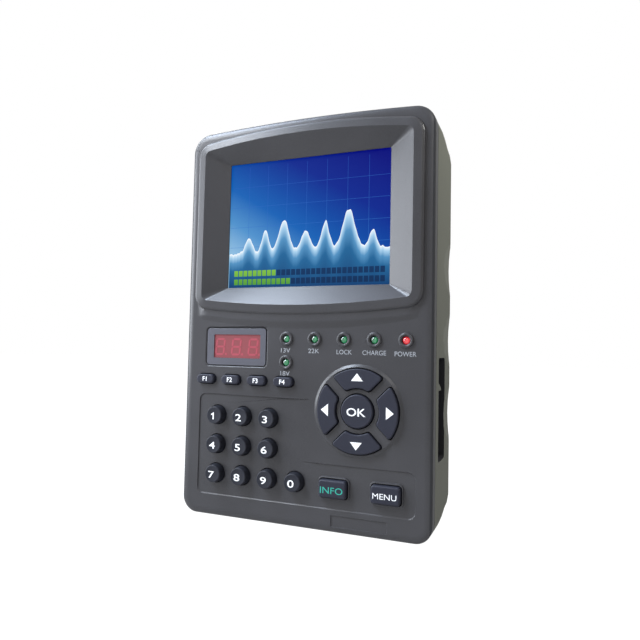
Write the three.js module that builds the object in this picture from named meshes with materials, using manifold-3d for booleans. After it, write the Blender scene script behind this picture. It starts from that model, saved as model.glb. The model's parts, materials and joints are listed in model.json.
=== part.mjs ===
// Handheld satellite signal meter.
// X runs to the right, Y from the front face to the back, Z up. Millimetres.
// The instrument stands upright on its lower edge, and its front faces minus Y.

import * as THREE from 'three';
import { mergeVertices } from 'three/addons/utils/BufferGeometryUtils.js';
import Module from 'manifold-3d';

const wasm = await Module();
wasm.setup();

// Case
const caseWidth = 105;
const caseShoulder = 160.3;        // height at the upper corners, before the crown
const caseCrown = 1.3;             // rise of the top edge in the middle
const caseDepth = 40;              // front face to back face
const frontDepth = 5;              // front face to the parting line
const topCornerRadius = 8;
const bottomCornerRadius = 6.5;
const faceEdgeRadius = 1.2;        // round between the face and the side wall
const faceEdgeReach = 3.2;         // how far in from the side that rounding starts
const backEdgeRadius = 5;
const cornerGrowth = 4.5;          // how much rounder the corners are at the back
const cornerGrowStart = 16;        // depth where the corners begin to open out
const faceWall = 2;
const rearWall = 2;
const tongueThickness = 1;
const tongueReach = 2;
const minCornerRadius = 0.6;

// Clearances
const seatGap = 0.3;               // piece to the face that carries it
const fitGap = 0.3;                // piece to the wall round it
const overrun = 1;                 // how far a cutter runs past a face

// Screen and its surround
const screenWidth = 70.1;
const screenHeight = 52.5;
const screenCornerRadius = 0.4;
const funnelDepth = 2.9;           // face plane to the inner edge of the funnel
const funnelWall = 1.8;
const screenLip = 0.5;             // wall left behind the inner edge
const mouthSideMargin = 7.7;       // funnel's mouth to the side of the case
const mouthTopMargin = 9;
const mouthRadius = 5.5;
const mouthCrown = 3.5;
const mouthBulge = 2.4;
const rimHeight = 1.6;
const rimOutside = 4;              // rim outside the funnel mouth
const rimFlat = 2.4;               // its nearly level top, out from the mouth
const rimFall = 0.32;              // drop across that top
const chinHeight = 0.85;           // soft step below the rim, at its middle
const chinSideMargin = 4.3;        // end of the step to the side of the case
const chinSlope = 5.5;             // width of its slope at the middle
const chinBow = 4.2;               // how much narrower the slope is at its ends
const chinRoot = 3.2;              // how far the step runs in under the rim
const chinRootBow = 4.6;
const chinSink = 0.02;             // foot of the slope below the panel
const chinDropShare = 0.55;        // height lost towards the ends
const chinFadeShare = 0.1;         // stretch at each end where it runs out
const chinSoftShare = 0.15;        // how far the slope is from a straight one
const glassMargin = 1.5;
const glassThickness = 1.1;
const traySideMargin = 3.4;        // tray beyond the lit area
const trayEndMargin = 5.7;
const trayThickness = 3.4;
const trayRibThickness = 1.2;
const trayRibLength = 9;
const trayRibDepth = 3.6;

// Three-digit read-out
const readoutWidth = 28.1;         // recess for the clear window
const readoutHeight = 15.7;
const readoutRadius = 1.6;
const readoutRecess = 1;
const windowThickness = 0.6;
const digitBlockRight = 0.35;      // block to the right of the window's middle
const digitBlockUp = 0.2;
const digitBlockWidth = 21.7;
const digitBlockHeight = 9.7;

// Signal lamps
const lampRadius = 1.5;
const lampRise = 0.9;              // dome above the face
const lampFlangeMargin = 0.3;
const lampFlange = 0.8;
const lampBodyLength = 3.3;        // face plane to the lamp's own base
const legSize = 0.5;
const legPitch = 1.5;
const collarRadius = 2.9;
const collarHeight = 0.8;
const collarSink = 0.5;

// Keys
const numberKeyRadius = 3.75;
const numberKeyRise = 2.8;
const softKeyWidth = 8.4;
const softKeyHeight = 3.8;
const softKeyRise = 1.8;
const wideKeyWidth = 11.1;
const wideKeyHeight = 6.8;
const wideKeyRadius = 1.2;
const wideKeyRise = 2.3;
const wideCollar = 0.6;            // raised lip round a wide key's hole
const wideCollarHeight = 0.45;
const padRadius = 17.6;
const padBevel = 1.1;
const padHeight = 0.7;
const arrowOuterRadius = 15.9;
const arrowInnerRadius = 8.6;
const arrowWebHalf = 2;            // half the bar of case between two arrow keys
const arrowRise = 1.9;
const okRadius = 6.4;
const okRise = 1.8;
const keyFlangeMargin = 0.8;
const keyFlange = 0.8;
const keyStemRadius = 1.8;
const keyStem = 0.9;               // stem behind the flange
const keyTravel = 0.8;
const keyFaceInset = 0.9;

// Shallow sunk fields on the face
const fieldDepth = 0.4;
const fieldLeftMargin = 7.3;
const fieldRightMargin = 6.1;
const fieldBottom = 8.3;
const fieldRamp = 8;               // soft slope on the right edge of the tall part
const fieldRadius = 2.6;
const fieldBend = 5.5;             // its inner corner
const plateWidth = 21.7;
const plateBottom = 2.2;
const plateHeight = 4.2;
const plateDepth = 0.35;

// Boards
const matThickness = 0.8;
const matMargin = 2.2;
const boardThickness = 1.6;
const keyBoardMargin = 5.6;        // case outline to board edge
const mainBoardY = 22;
const mainBoardLeftMargin = 6.5;
const mainBoardGap = 1;            // main board to the wall of the connector bay
const mainBoardBottom = 16;
const mainBoardTopMargin = 14.3;
const boardCornerRadius = 2;
const boardPostRadius = 2.2;
const boardScrewRadius = 0.9;
const boardScrewHead = 1.8;
const boardScrewHeadHeight = 1.1;
const boardScrewLength = 3.4;
const keyPostInset = 2.5;          // board edge to the middle of a post
const keyPostClearance = 0.8;      // screw head of the right-hand post to the bay's wall
const mainPostInset = 4;
const mainScrewLength = 5;

// Case screws
const lowerScrewMargin = 9.4;      // middle of a lower screw to the side of the case
const lowerScrewZ = 8.6;
const upperScrewMargin = 10.1;
const upperScrewTopMargin = 8.9;
const frontBossRadius = 3.25;
const frontBossEnd = 11.7;
const rearBossRadius = 4.4;
const rearBossFloor = 2;
const screwWellRadius = 3.2;
const caseScrewRadius = 1.5;
const caseScrewHead = 2.8;
const caseScrewHeadHeight = 2.2;
const caseScrewLength = 9.6;

// Battery and its door
const packWidth = 60;
const packHeight = 40;
const packThickness = 10.6;
const packBottom = 18;
const packRadius = 3;
const tubFloor = 1.5;
const tubWall = 3.4;
const doorThickness = 1.8;
const doorLedge = 1.8;             // door beyond the battery on three sides
const doorLand = 9;                // door above the battery, where its screws go
const doorRadius = 3;
const doorTabX = 18;
const doorTabWidth = 7;
const doorTabReach = 1.5;
const doorTabThickness = 0.7;
const doorScrewX = 24;
const doorScrewRadius = 1;
const doorScrewHead = 2;
const doorScrewHeadHeight = 0.7;
const doorScrewLength = 6;
const doorSinkDepth = 1.1;
const gripSlotWidth = 1.2;         // finger grooves across the door
const gripSlotDepth = 0.5;
const gripSlotLength = 22;
const gripSlotPitch = 2.8;

// Speaker
const speakerMargin = 24.5;        // middle of the speaker to the side of the case
const speakerRadius = 14;
const speakerDepth = 6.4;
const speakerRingWall = 1.2;
const speakerRingDepth = 3;
const soundSlotWidth = 1.8;
const soundSlotPitch = 4.2;

// Tuner and aerial connector
const tunerInset = 8;              // edge of the main board to the can
const tunerOverhang = 4;           // can above the main board's upper edge
const tunerWidth = 32;
const tunerHeight = 54;
const tunerThickness = 9.6;
const threadRadius = 4.76;
const shankRadius = 4.2;
const hexAcross = 11;
const hexHeight = 2;
const threadLength = 8;
const spotFaceRadius = 7.2;
const spotFaceRise = 0.5;          // above the upper corners of the case
const mouthFaceRadius = 3.6;
const insulatorSink = 0.6;
const contactRadius = 0.7;
const contactDepth = 5;

// Connector bay in the right-hand side
const bayFrontY = 10.4;
const bayBackY = 23.5;
const bayBottom = 27.5;
const bayTop = 66.5;
const bayDepth = 8;
const bayWall = 1.5;
const bayRadius = 1.5;
const tabTop = 58.6;               // three-cornered tab on the bay's front edge
const tabBottom = 54;
const tabReach = 8.6;
const tabSet = 0.6;                // tab below the side face
const dcZ = 32.9;
const dcY = 16.6;
const dcBodySize = 9.4;
const dcBodyLength = 13;
const dcNeckRadius = 4.1;
const dcBoreRadius = 3.1;
const dcBoreDepth = 9.5;
const dcPinRadius = 1;
const dcPinSink = 1;
const avInZ = 50.2;                // in the lower compartment
const avOutZ = 62.6;               // in the upper compartment
const avY = 17.4;
const avBodySize = 7.2;
const avBodyLength = 11.5;
const avNeckRadius = 3.1;
const avBoreRadius = 1.8;
const avBoreDepth = 11;
const neckRise = 0.4;              // jack above the bay's floor
const switchZ = 42.4;
const switchY = 17;
const switchBodyWidth = 7.6;
const switchBodyDepth = 5.6;
const switchBodyLength = 6;
const knobWidth = 3.2;
const knobHeight = 3.4;
const knobRise = 2;
const knobRoot = 1.2;
const knobTravel = 2.6;
const knobGroove = 0.5;

// Finger scallops on both sides
const scallopCount = 3;
const scallopLength = 26;
const scallopDepth = 1.3;          // at the back edge
const scallopStart = 18;           // depth where they begin

// Places on the face: x as shares of half the case's width, z of the height of its corners
const screenZShare = 0.7492;
const mouthBottomShare = 0.5515;
const readoutXShare = -0.5467;
const readoutZShare = 0.4314;
const lampXShare = -0.1095;        // first lamp of the row
const lampPitchShare = 0.2295;
const lampRowZShare = 0.4535;
const lampDropShare = 0.058;       // the sixth lamp stands under the first
const softKeyXShare = -0.8;
const softKeyZShare = 0.3475;
const keyPitchShare = 0.2261;
const rowPitchShare = 0.07405;
const numberKeyXShare = -0.6952;   // first column
const numberKeyZShare = 0.2561;    // top row
const padXShare = 0.4657;          // middle of the arrow pad
const padZShare = 0.2867;
const wideKeyXShare = 0.2933;      // first of the two wide keys
const wideKeyPitchShare = 0.3905;
const wideKeyZShare = 0.1029;
const fieldTopShare = 0.3088;
const fieldStepXShare = 0.1048;    // right edge of the sunk field's tall part
const fieldStepZShare = 0.1572;    // upper edge of its wide lower part
const plateLeftShare = 0.2724;
const keyBoardTopShare = 0.499;
const keyPostLeftZShare = 0.2183;
const mainPostLowZShare = 0.499;
const speakerZShare = 0.7112;
const scallopTopZShare = 0.6425;
const scallopPitchShare = 0.184;

// Shares of the sizes above
const dishShares = [[0, 0.9], [0.7, 0.97], [0.84, 1], [0.93, 0.93], [1, 0.45]];
const okDishShares = [[0, 0.8], [0.7, 0.88], [0.9, 1], [1, 0.75]];
const bevelShares = [[1, 1], [0.35, 0.9], [0, 0.62]];   // inset and height of a key's edge
const collarCrownShare = 0.8;      // of a lamp collar's height, halfway up its slope
const coneShares = [[0.6, 0.1], [0.62, 0.45], [0.9, 0.75]];
const soundSlotShares = [0.55, 0.9, 1, 0.9, 0.55];

// Steps of the round stretches
const cornerSteps = 5;
const plainSteps = 3;
const edgeSteps = 6;
const roundSteps = 14;
const bossSteps = 10;
const smallSteps = 8;
const rimSteps = 5;
const chinSteps = 14;
const slopeSteps = 5;              // an odd number: the slope has no flat point in its middle
const faceEdgeSteps = 4;
const outsideSteps = 4;
const insideSteps = 2;

// Places that follow from the sizes
const halfWidth = caseWidth / 2;
const across = (share) => share * halfWidth;
const upward = (share) => share * caseShoulder;
const screenCentreZ = upward(screenZShare);
const mouthHalfWidth = halfWidth - mouthSideMargin;
const mouthTop = caseShoulder - mouthTopMargin;
const mouthBottom = upward(mouthBottomShare);
const trayWidth = screenWidth + 2 * traySideMargin;
const trayHeight = screenHeight + 2 * trayEndMargin;
const readoutX = across(readoutXShare);
const readoutZ = upward(readoutZShare);
const digitBlockX = readoutX + digitBlockRight;
const digitBlockZ = readoutZ + digitBlockUp;
const lampX = across(lampXShare);
const lampPitch = across(lampPitchShare);
const lampRowZ = upward(lampRowZShare);
const lampDropZ = upward(lampDropShare);
const keyPitch = across(keyPitchShare);
const rowPitch = upward(rowPitchShare);
const numberKeyX = across(numberKeyXShare);
const numberKeyZ = upward(numberKeyZShare);
const softKeyX = across(softKeyXShare);
const softKeyZ = upward(softKeyZShare);
const wideKeyX = across(wideKeyXShare);
const wideKeyPitch = across(wideKeyPitchShare);
const wideKeyZ = upward(wideKeyZShare);
const padX = across(padXShare);
const padZ = upward(padZShare);
const bayFloorX = halfWidth - bayDepth;
const mainBoardLeft = mainBoardLeftMargin - halfWidth;
const mainBoardRight = bayFloorX - bayWall - mainBoardGap;
const mainBoardTop = caseShoulder - mainBoardTopMargin;
const keyBoardTop = upward(keyBoardTopShare);
const tunerLeft = mainBoardLeft + tunerInset;
const tunerTop = mainBoardTop + tunerOverhang;
const spotFaceZ = caseShoulder + spotFaceRise;
const speakerX = halfWidth - speakerMargin;
const speakerZ = upward(speakerZShare);
const backWallY = caseDepth - rearWall;
const tubFloorY = caseDepth - doorThickness - 3 * seatGap - packThickness - tubFloor;
const rearStart = frontDepth + seatGap;
const keyFlangeY = faceWall + seatGap;
const stemEnd = keyFlangeY + keyFlange + keyStem;
const matY = stemEnd + keyTravel + seatGap;
const keyBoardY = matY + matThickness + seatGap;
const mainBoardBack = mainBoardY + boardThickness;
const rearBossY = frontBossEnd + seatGap;
const screwSeatY = rearBossY + rearBossFloor;
const lipBack = funnelDepth + screenLip;

// A geometry becomes a solid once its shared corners are merged.
function solid(geometry) {
  geometry.deleteAttribute('normal');
  geometry.deleteAttribute('uv');
  const merged = mergeVertices(geometry);
  const points = merged.attributes.position.array;
  const corners = [];
  let volume = 0;
  for (let i = 0; i < merged.index.count; i += 3) {
    const [a, b, c] = [0, 1, 2].map((k) => merged.index.array[i + k]);
    if (a === b || b === c || c === a) continue;
    corners.push(a, b, c);
    const [p, q, r] = [a, b, c].map((k) => new THREE.Vector3().fromArray(points, 3 * k));
    volume += p.dot(q.cross(r));
  }
  if (volume < 0) corners.reverse();
  return new wasm.Manifold(new wasm.Mesh({
    numProp: 3,
    vertProperties: new Float32Array(points),
    triVerts: new Uint32Array(corners),
  }));
}

// Points of a rectangle with round corners, anticlockwise seen from the front. The top
// edge may be crowned and the bottom edge may bulge, with the corners running into both.
function frame({
  left, right, bottom, top, topRadius, bottomRadius, crown = 0, bulge = 0,
  steps = cornerSteps, topSteps = 1, bottomSteps = 1,
}) {
  const lower = Math.max(bottomRadius, minCornerRadius);
  const upper = Math.max(topRadius, minCornerRadius);
  const rise = Math.atan((4 * crown) / (right - left - 2 * upper));
  const fall = Math.atan((4 * bulge) / (right - left - 2 * lower));
  const arc = (x, z, radius, from, to) =>
    new THREE.EllipseCurve(x, z, radius, radius, from, to).getPoints(steps);
  const edge = (start, end, slope, count) => {
    const sag = ((start.x - end.x) * Math.tan(slope)) / 4;
    const points = [];
    for (let i = 1; i < count; i += 1) {
      const t = i / count;
      const middle = new THREE.Vector2().lerpVectors(start, end, t);
      points.push(new THREE.Vector2(middle.x, middle.y + sag * 4 * t * (1 - t)));
    }
    return points;
  };
  const quarter = Math.PI / 2;
  const bottomLeft = arc(left + lower, bottom + lower, lower, 2 * quarter, 3 * quarter - fall);
  const bottomRight = arc(right - lower, bottom + lower, lower, 3 * quarter + fall, 4 * quarter);
  const topRight = arc(right - upper, top - upper, upper, 0, quarter - rise);
  const topLeft = arc(left + upper, top - upper, upper, quarter + rise, 2 * quarter);
  return [
    ...bottomLeft, ...edge(bottomLeft.at(-1), bottomRight[0], fall, bottomSteps), ...bottomRight,
    ...topRight, ...edge(topRight.at(-1), topLeft[0], rise, topSteps), ...topLeft,
  ];
}

// The case outline, drawn in by an inset, with corners that open out towards the back.
function caseRing(inset, y) {
  const share = THREE.MathUtils.smoothstep(y, cornerGrowStart, caseDepth - backEdgeRadius);
  const growth = cornerGrowth * share;
  return frame({
    left: inset - halfWidth,
    right: halfWidth - inset,
    bottom: inset,
    top: caseShoulder - inset,
    topRadius: topCornerRadius + growth - inset,
    bottomRadius: bottomCornerRadius + growth - inset,
    crown: caseCrown,
    topSteps: edgeSteps,
  });
}

// The funnel's mouth, grown by an offset.
function mouthRing(offset) {
  return frame({
    left: -mouthHalfWidth - offset,
    right: mouthHalfWidth + offset,
    bottom: mouthBottom - offset,
    top: mouthTop + offset,
    topRadius: mouthRadius + offset,
    bottomRadius: mouthRadius + offset,
    crown: mouthCrown,
    bulge: mouthBulge,
    topSteps: edgeSteps,
    bottomSteps: edgeSteps,
  });
}

// A rectangle about a middle point, with one radius.
function plainRing(x, z, width, height, radius, inset = 0) {
  return frame({
    left: x - width / 2 + inset,
    right: x + width / 2 - inset,
    bottom: z - height / 2 + inset,
    top: z + height / 2 - inset,
    topRadius: radius - inset,
    bottomRadius: radius - inset,
    steps: plainSteps,
  });
}

// The screen's opening, with as many points as the funnel's mouth.
function screenRing() {
  return frame({
    left: -screenWidth / 2,
    right: screenWidth / 2,
    bottom: screenCentreZ - screenHeight / 2,
    top: screenCentreZ + screenHeight / 2,
    topRadius: screenCornerRadius,
    bottomRadius: screenCornerRadius,
    topSteps: edgeSteps,
    bottomSteps: edgeSteps,
  });
}

function mixRings(one, other, share) {
  return one.map((point, i) => point.clone().lerp(other[i], share));
}

// A solid through outlines that stand one behind the other: [points, y] from front to back.
function loftGeometry(rings) {
  const count = rings[0][0].length;
  const positions = rings.flatMap(([points, y]) => points.flatMap((p) => [p.x, y, p.y]));
  const faces = [];
  const cap = (r, flip) => {
    for (const [a, b, c] of THREE.ShapeUtils.triangulateShape(rings[r][0], [])) {
      const base = r * count;
      faces.push(base + a, base + (flip ? c : b), base + (flip ? b : c));
    }
  };
  cap(0, false);
  for (let r = 0; r + 1 < rings.length; r += 1) {
    for (let i = 0; i < count; i += 1) {
      const next = (i + 1) % count;
      const [a, b] = [r * count + i, r * count + next];
      faces.push(a, a + count, b, b, a + count, b + count);
    }
  }
  cap(rings.length - 1, true);
  const geometry = new THREE.BufferGeometry();
  geometry.setAttribute('position', new THREE.Float32BufferAttribute(positions, 3));
  geometry.setIndex(faces);
  return geometry;
}

const loft = (rings) => solid(loftGeometry(rings));

// An outline pushed straight back.
function prism(points, yFront, yBack) {
  const shape = new THREE.Shape(points);
  const geometry = new THREE.ExtrudeGeometry(shape, { depth: yBack - yFront, bevelEnabled: false });
  geometry.rotateX(Math.PI / 2);
  geometry.translate(0, yBack, 0);
  return solid(geometry);
}

function box(left, right, front, back, bottom, top) {
  const geometry = new THREE.BoxGeometry(right - left, back - front, top - bottom);
  geometry.translate((left + right) / 2, (front + back) / 2, (bottom + top) / 2);
  return solid(geometry);
}

// A turned solid about an axis along Y, from a profile of [radius, y].
function turned(x, z, profile, steps = smallSteps) {
  const geometry = new THREE.LatheGeometry(profile.map(([r, y]) => new THREE.Vector2(r, y)), steps);
  geometry.translate(x, 0, z);
  return solid(geometry);
}

function rod(x, z, radius, yFront, yBack, steps = smallSteps) {
  return turned(x, z, [[0, yFront], [radius, yFront], [radius, yBack], [0, yBack]], steps);
}

// The same, about an axis along X through y and z.
function turnedAcross(y, z, profile, steps = smallSteps) {
  const geometry = new THREE.LatheGeometry(profile.map(([r, x]) => new THREE.Vector2(r, x)), steps);
  geometry.rotateZ(-Math.PI / 2);
  geometry.translate(0, y, z);
  return solid(geometry);
}

function rodAcross(y, z, radius, xFrom, xTo, steps = smallSteps) {
  return turnedAcross(y, z, [[0, xFrom], [radius, xFrom], [radius, xTo], [0, xTo]], steps);
}

// An outline of [y, z] points pushed along X.
function prismAcross(points, xFrom, xTo) {
  const shape = new THREE.Shape(points);
  const geometry = new THREE.ExtrudeGeometry(shape, { depth: xTo - xFrom, bevelEnabled: false });
  geometry.rotateX(Math.PI / 2);
  geometry.rotateZ(Math.PI / 2);
  geometry.translate(xFrom, 0, 0);
  return solid(geometry);
}

// A turned solid about an upright axis, from a profile of [radius, z].
function upright(x, y, profile, steps = smallSteps) {
  const geometry = new THREE.LatheGeometry(profile.map(([r, z]) => new THREE.Vector2(r, z)), steps);
  geometry.rotateX(Math.PI / 2);
  geometry.translate(x, y, 0);
  return solid(geometry);
}

// Places of the repeated pieces
const connectorX = tunerLeft + tunerWidth / 2;
const connectorY = mainBoardBack + seatGap + tunerThickness / 2;
const doorTop = packBottom + packHeight + doorLand;
const doorBottom = packBottom - doorLedge;
const doorWidth = packWidth + 2 * doorLedge;
const doorY = caseDepth - doorThickness;
const doorScrewZ = doorTop - doorLand / 2;
const keyBoardHalf = halfWidth - keyBoardMargin;
const keyBoardPosts = [
  [keyPostInset - keyBoardHalf, upward(keyPostLeftZShare)],
  [keyBoardHalf - keyPostInset, bayBottom - bayWall - boardScrewHead - keyPostClearance],
  [lampX + lampPitch / 2, keyBoardTop - keyPostInset],
];
const mainPostRows = [upward(mainPostLowZShare), mainBoardTop - mainPostInset];
const mainBoardPosts = mainPostRows.flatMap((z) => [
  [mainBoardLeft + mainPostInset, z], [mainBoardRight - mainPostInset, z],
]);
const lowerScrewX = halfWidth - lowerScrewMargin;
const upperScrewX = halfWidth - upperScrewMargin;
const upperScrewZ = caseShoulder - upperScrewTopMargin;
const caseScrewPlaces = [
  [-lowerScrewX, lowerScrewZ], [lowerScrewX, lowerScrewZ],
  [-upperScrewX, upperScrewZ], [upperScrewX, upperScrewZ],
];
const numberKeys = [];
for (let n = 1; n <= 9; n += 1) {
  const [column, row] = [(n - 1) % 3, Math.floor((n - 1) / 3)];
  numberKeys.push([`key_${n}`, numberKeyX + column * keyPitch, numberKeyZ - row * rowPitch]);
}
numberKeys.push(['key_0', numberKeyX + 3 * keyPitch, numberKeyZ - 2 * rowPitch]);
const softKeys = [1, 2, 3, 4].map((n) => [`key_f${n}`, softKeyX + (n - 1) * keyPitch, softKeyZ]);
const wideKeys = ['key_info', 'key_menu'].map((name, i) => [name, wideKeyX + i * wideKeyPitch, wideKeyZ]);
const arrowKeys = ['nav_right', 'nav_up', 'nav_left', 'nav_down'];
const lampNames = ['led_13v', 'led_22k', 'led_lock', 'led_charge', 'led_power'];
const lamps = lampNames.map((name, i) => [name, lampX + i * lampPitch, lampRowZ]);
lamps.push(['led_18v', lampX, lampRowZ - lampDropZ]);

// Outline of one arrow key: a quarter of a ring between two straight bars.
function arrowRing(quarterTurn, inset) {
  const outer = arrowOuterRadius - inset;
  const inner = arrowInnerRadius + inset;
  const web = arrowWebHalf + inset;
  const middle = (quarterTurn * Math.PI) / 2;
  const reach = (radius) => Math.PI / 4 - Math.asin(web / radius);
  const arc = (radius, from, to, steps) =>
    new THREE.EllipseCurve(padX, padZ, radius, radius, from, to, from > to).getPoints(steps);
  return [
    ...arc(outer, middle - reach(outer), middle + reach(outer), edgeSteps),
    ...arc(inner, middle + reach(inner), middle - reach(inner), cornerSteps),
  ];
}

// A key that is not round: bevelled face, straight side, flange behind the face wall, stem.
function profiledKey(ringAt, rise, x, z) {
  const rings = bevelShares.map(([inset, height]) => [ringAt(inset * keyFaceInset), -rise * height]);
  const flangeBack = keyFlangeY + keyFlange;
  rings.push([ringAt(0), keyFlangeY], [ringAt(-keyFlangeMargin), keyFlangeY]);
  rings.push([ringAt(-keyFlangeMargin), flangeBack]);
  return loft(rings).add(rod(x, z, keyStemRadius, keyFlangeY, stemEnd));
}

// A round key: dished face, flange and stem in one turned profile.
function roundKey(x, z, radius, rise, shares) {
  const profile = shares.map(([r, height]) => [r * radius, -rise * height]);
  const flangeBack = keyFlangeY + keyFlange;
  profile.push([radius, keyFlangeY], [radius + keyFlangeMargin, keyFlangeY]);
  profile.push([radius + keyFlangeMargin, flangeBack], [keyStemRadius, flangeBack]);
  profile.push([keyStemRadius, stemEnd], [0, stemEnd]);
  return turned(x, z, profile, roundSteps);
}

const softRing = (x) => (inset) =>
  plainRing(x, softKeyZ, softKeyWidth, softKeyHeight, softKeyHeight / 2, inset);
const wideRing = (x) => (inset) =>
  plainRing(x, wideKeyZ, wideKeyWidth, wideKeyHeight, wideKeyRadius, inset);

// Outline of the sunk field: a tall part with the number keys and a wide lower part.
function fieldRing(ramp) {
  const corner = (x, z, from, to, radius = fieldRadius) =>
    new THREE.EllipseCurve(x, z, radius, radius, from, to, from > to).getPoints(plainSteps);
  const quarter = Math.PI / 2;
  const fieldLeft = fieldLeftMargin - halfWidth;
  const fieldRight = halfWidth - fieldRightMargin;
  const fieldTop = upward(fieldTopShare);
  const fieldStepZ = upward(fieldStepZShare);
  const edgeX = across(fieldStepXShare) - ramp;
  return [
    ...corner(fieldLeft + fieldRadius, fieldBottom + fieldRadius, 2 * quarter, 3 * quarter),
    ...corner(fieldRight - fieldRadius, fieldBottom + fieldRadius, 3 * quarter, 4 * quarter),
    ...corner(fieldRight - fieldRadius, fieldStepZ - fieldRadius, 0, quarter),
    ...corner(edgeX + fieldBend, fieldStepZ + fieldBend, 3 * quarter, 2 * quarter, fieldBend),
    ...corner(edgeX - fieldRadius, fieldTop - fieldRadius, 0, quarter),
    ...corner(fieldLeft + fieldRadius, fieldTop - fieldRadius, quarter, 2 * quarter),
  ];
}

// The soft step below the rim: level at the rim's foot, then a slope down to the key panel, wide
// in the middle, narrow at the sides and running out at its ends.
function chin() {
  const reach = halfWidth - chinSideMargin;
  const foot = mouthBottom - mouthBulge - rimOutside;
  const sections = Array.from({ length: chinSteps + 1 }, (_, k) => {
    const x = reach * ((2 * k) / chinSteps - 1);
    const along = Math.abs(x) / reach;
    const fade = THREE.MathUtils.smoothstep(1 - along, 0, chinFadeShare);
    const height = chinHeight * (1 - chinDropShare * along * along) * fade;
    const slope = chinSlope - chinBow * along * along;
    const root = foot + chinRoot + chinRootBow * along ** 3;
    const points = [
      new THREE.Vector2(-faceWall / 2, root),
      new THREE.Vector2(-faceWall / 2, foot - slope),
    ];
    for (let i = slopeSteps; i >= 0; i -= 1) {
      const share = i / slopeSteps;
      const eased = THREE.MathUtils.lerp(share, THREE.MathUtils.smoothstep(share, 0, 1), chinSoftShare);
      points.push(new THREE.Vector2(height - (height + chinSink) * eased, foot - slope * share));
    }
    points.push(new THREE.Vector2(height, root));
    return [points, x];
  });
  const geometry = loftGeometry(sections);
  geometry.rotateZ(-Math.PI / 2);
  return solid(geometry);
}

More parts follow.
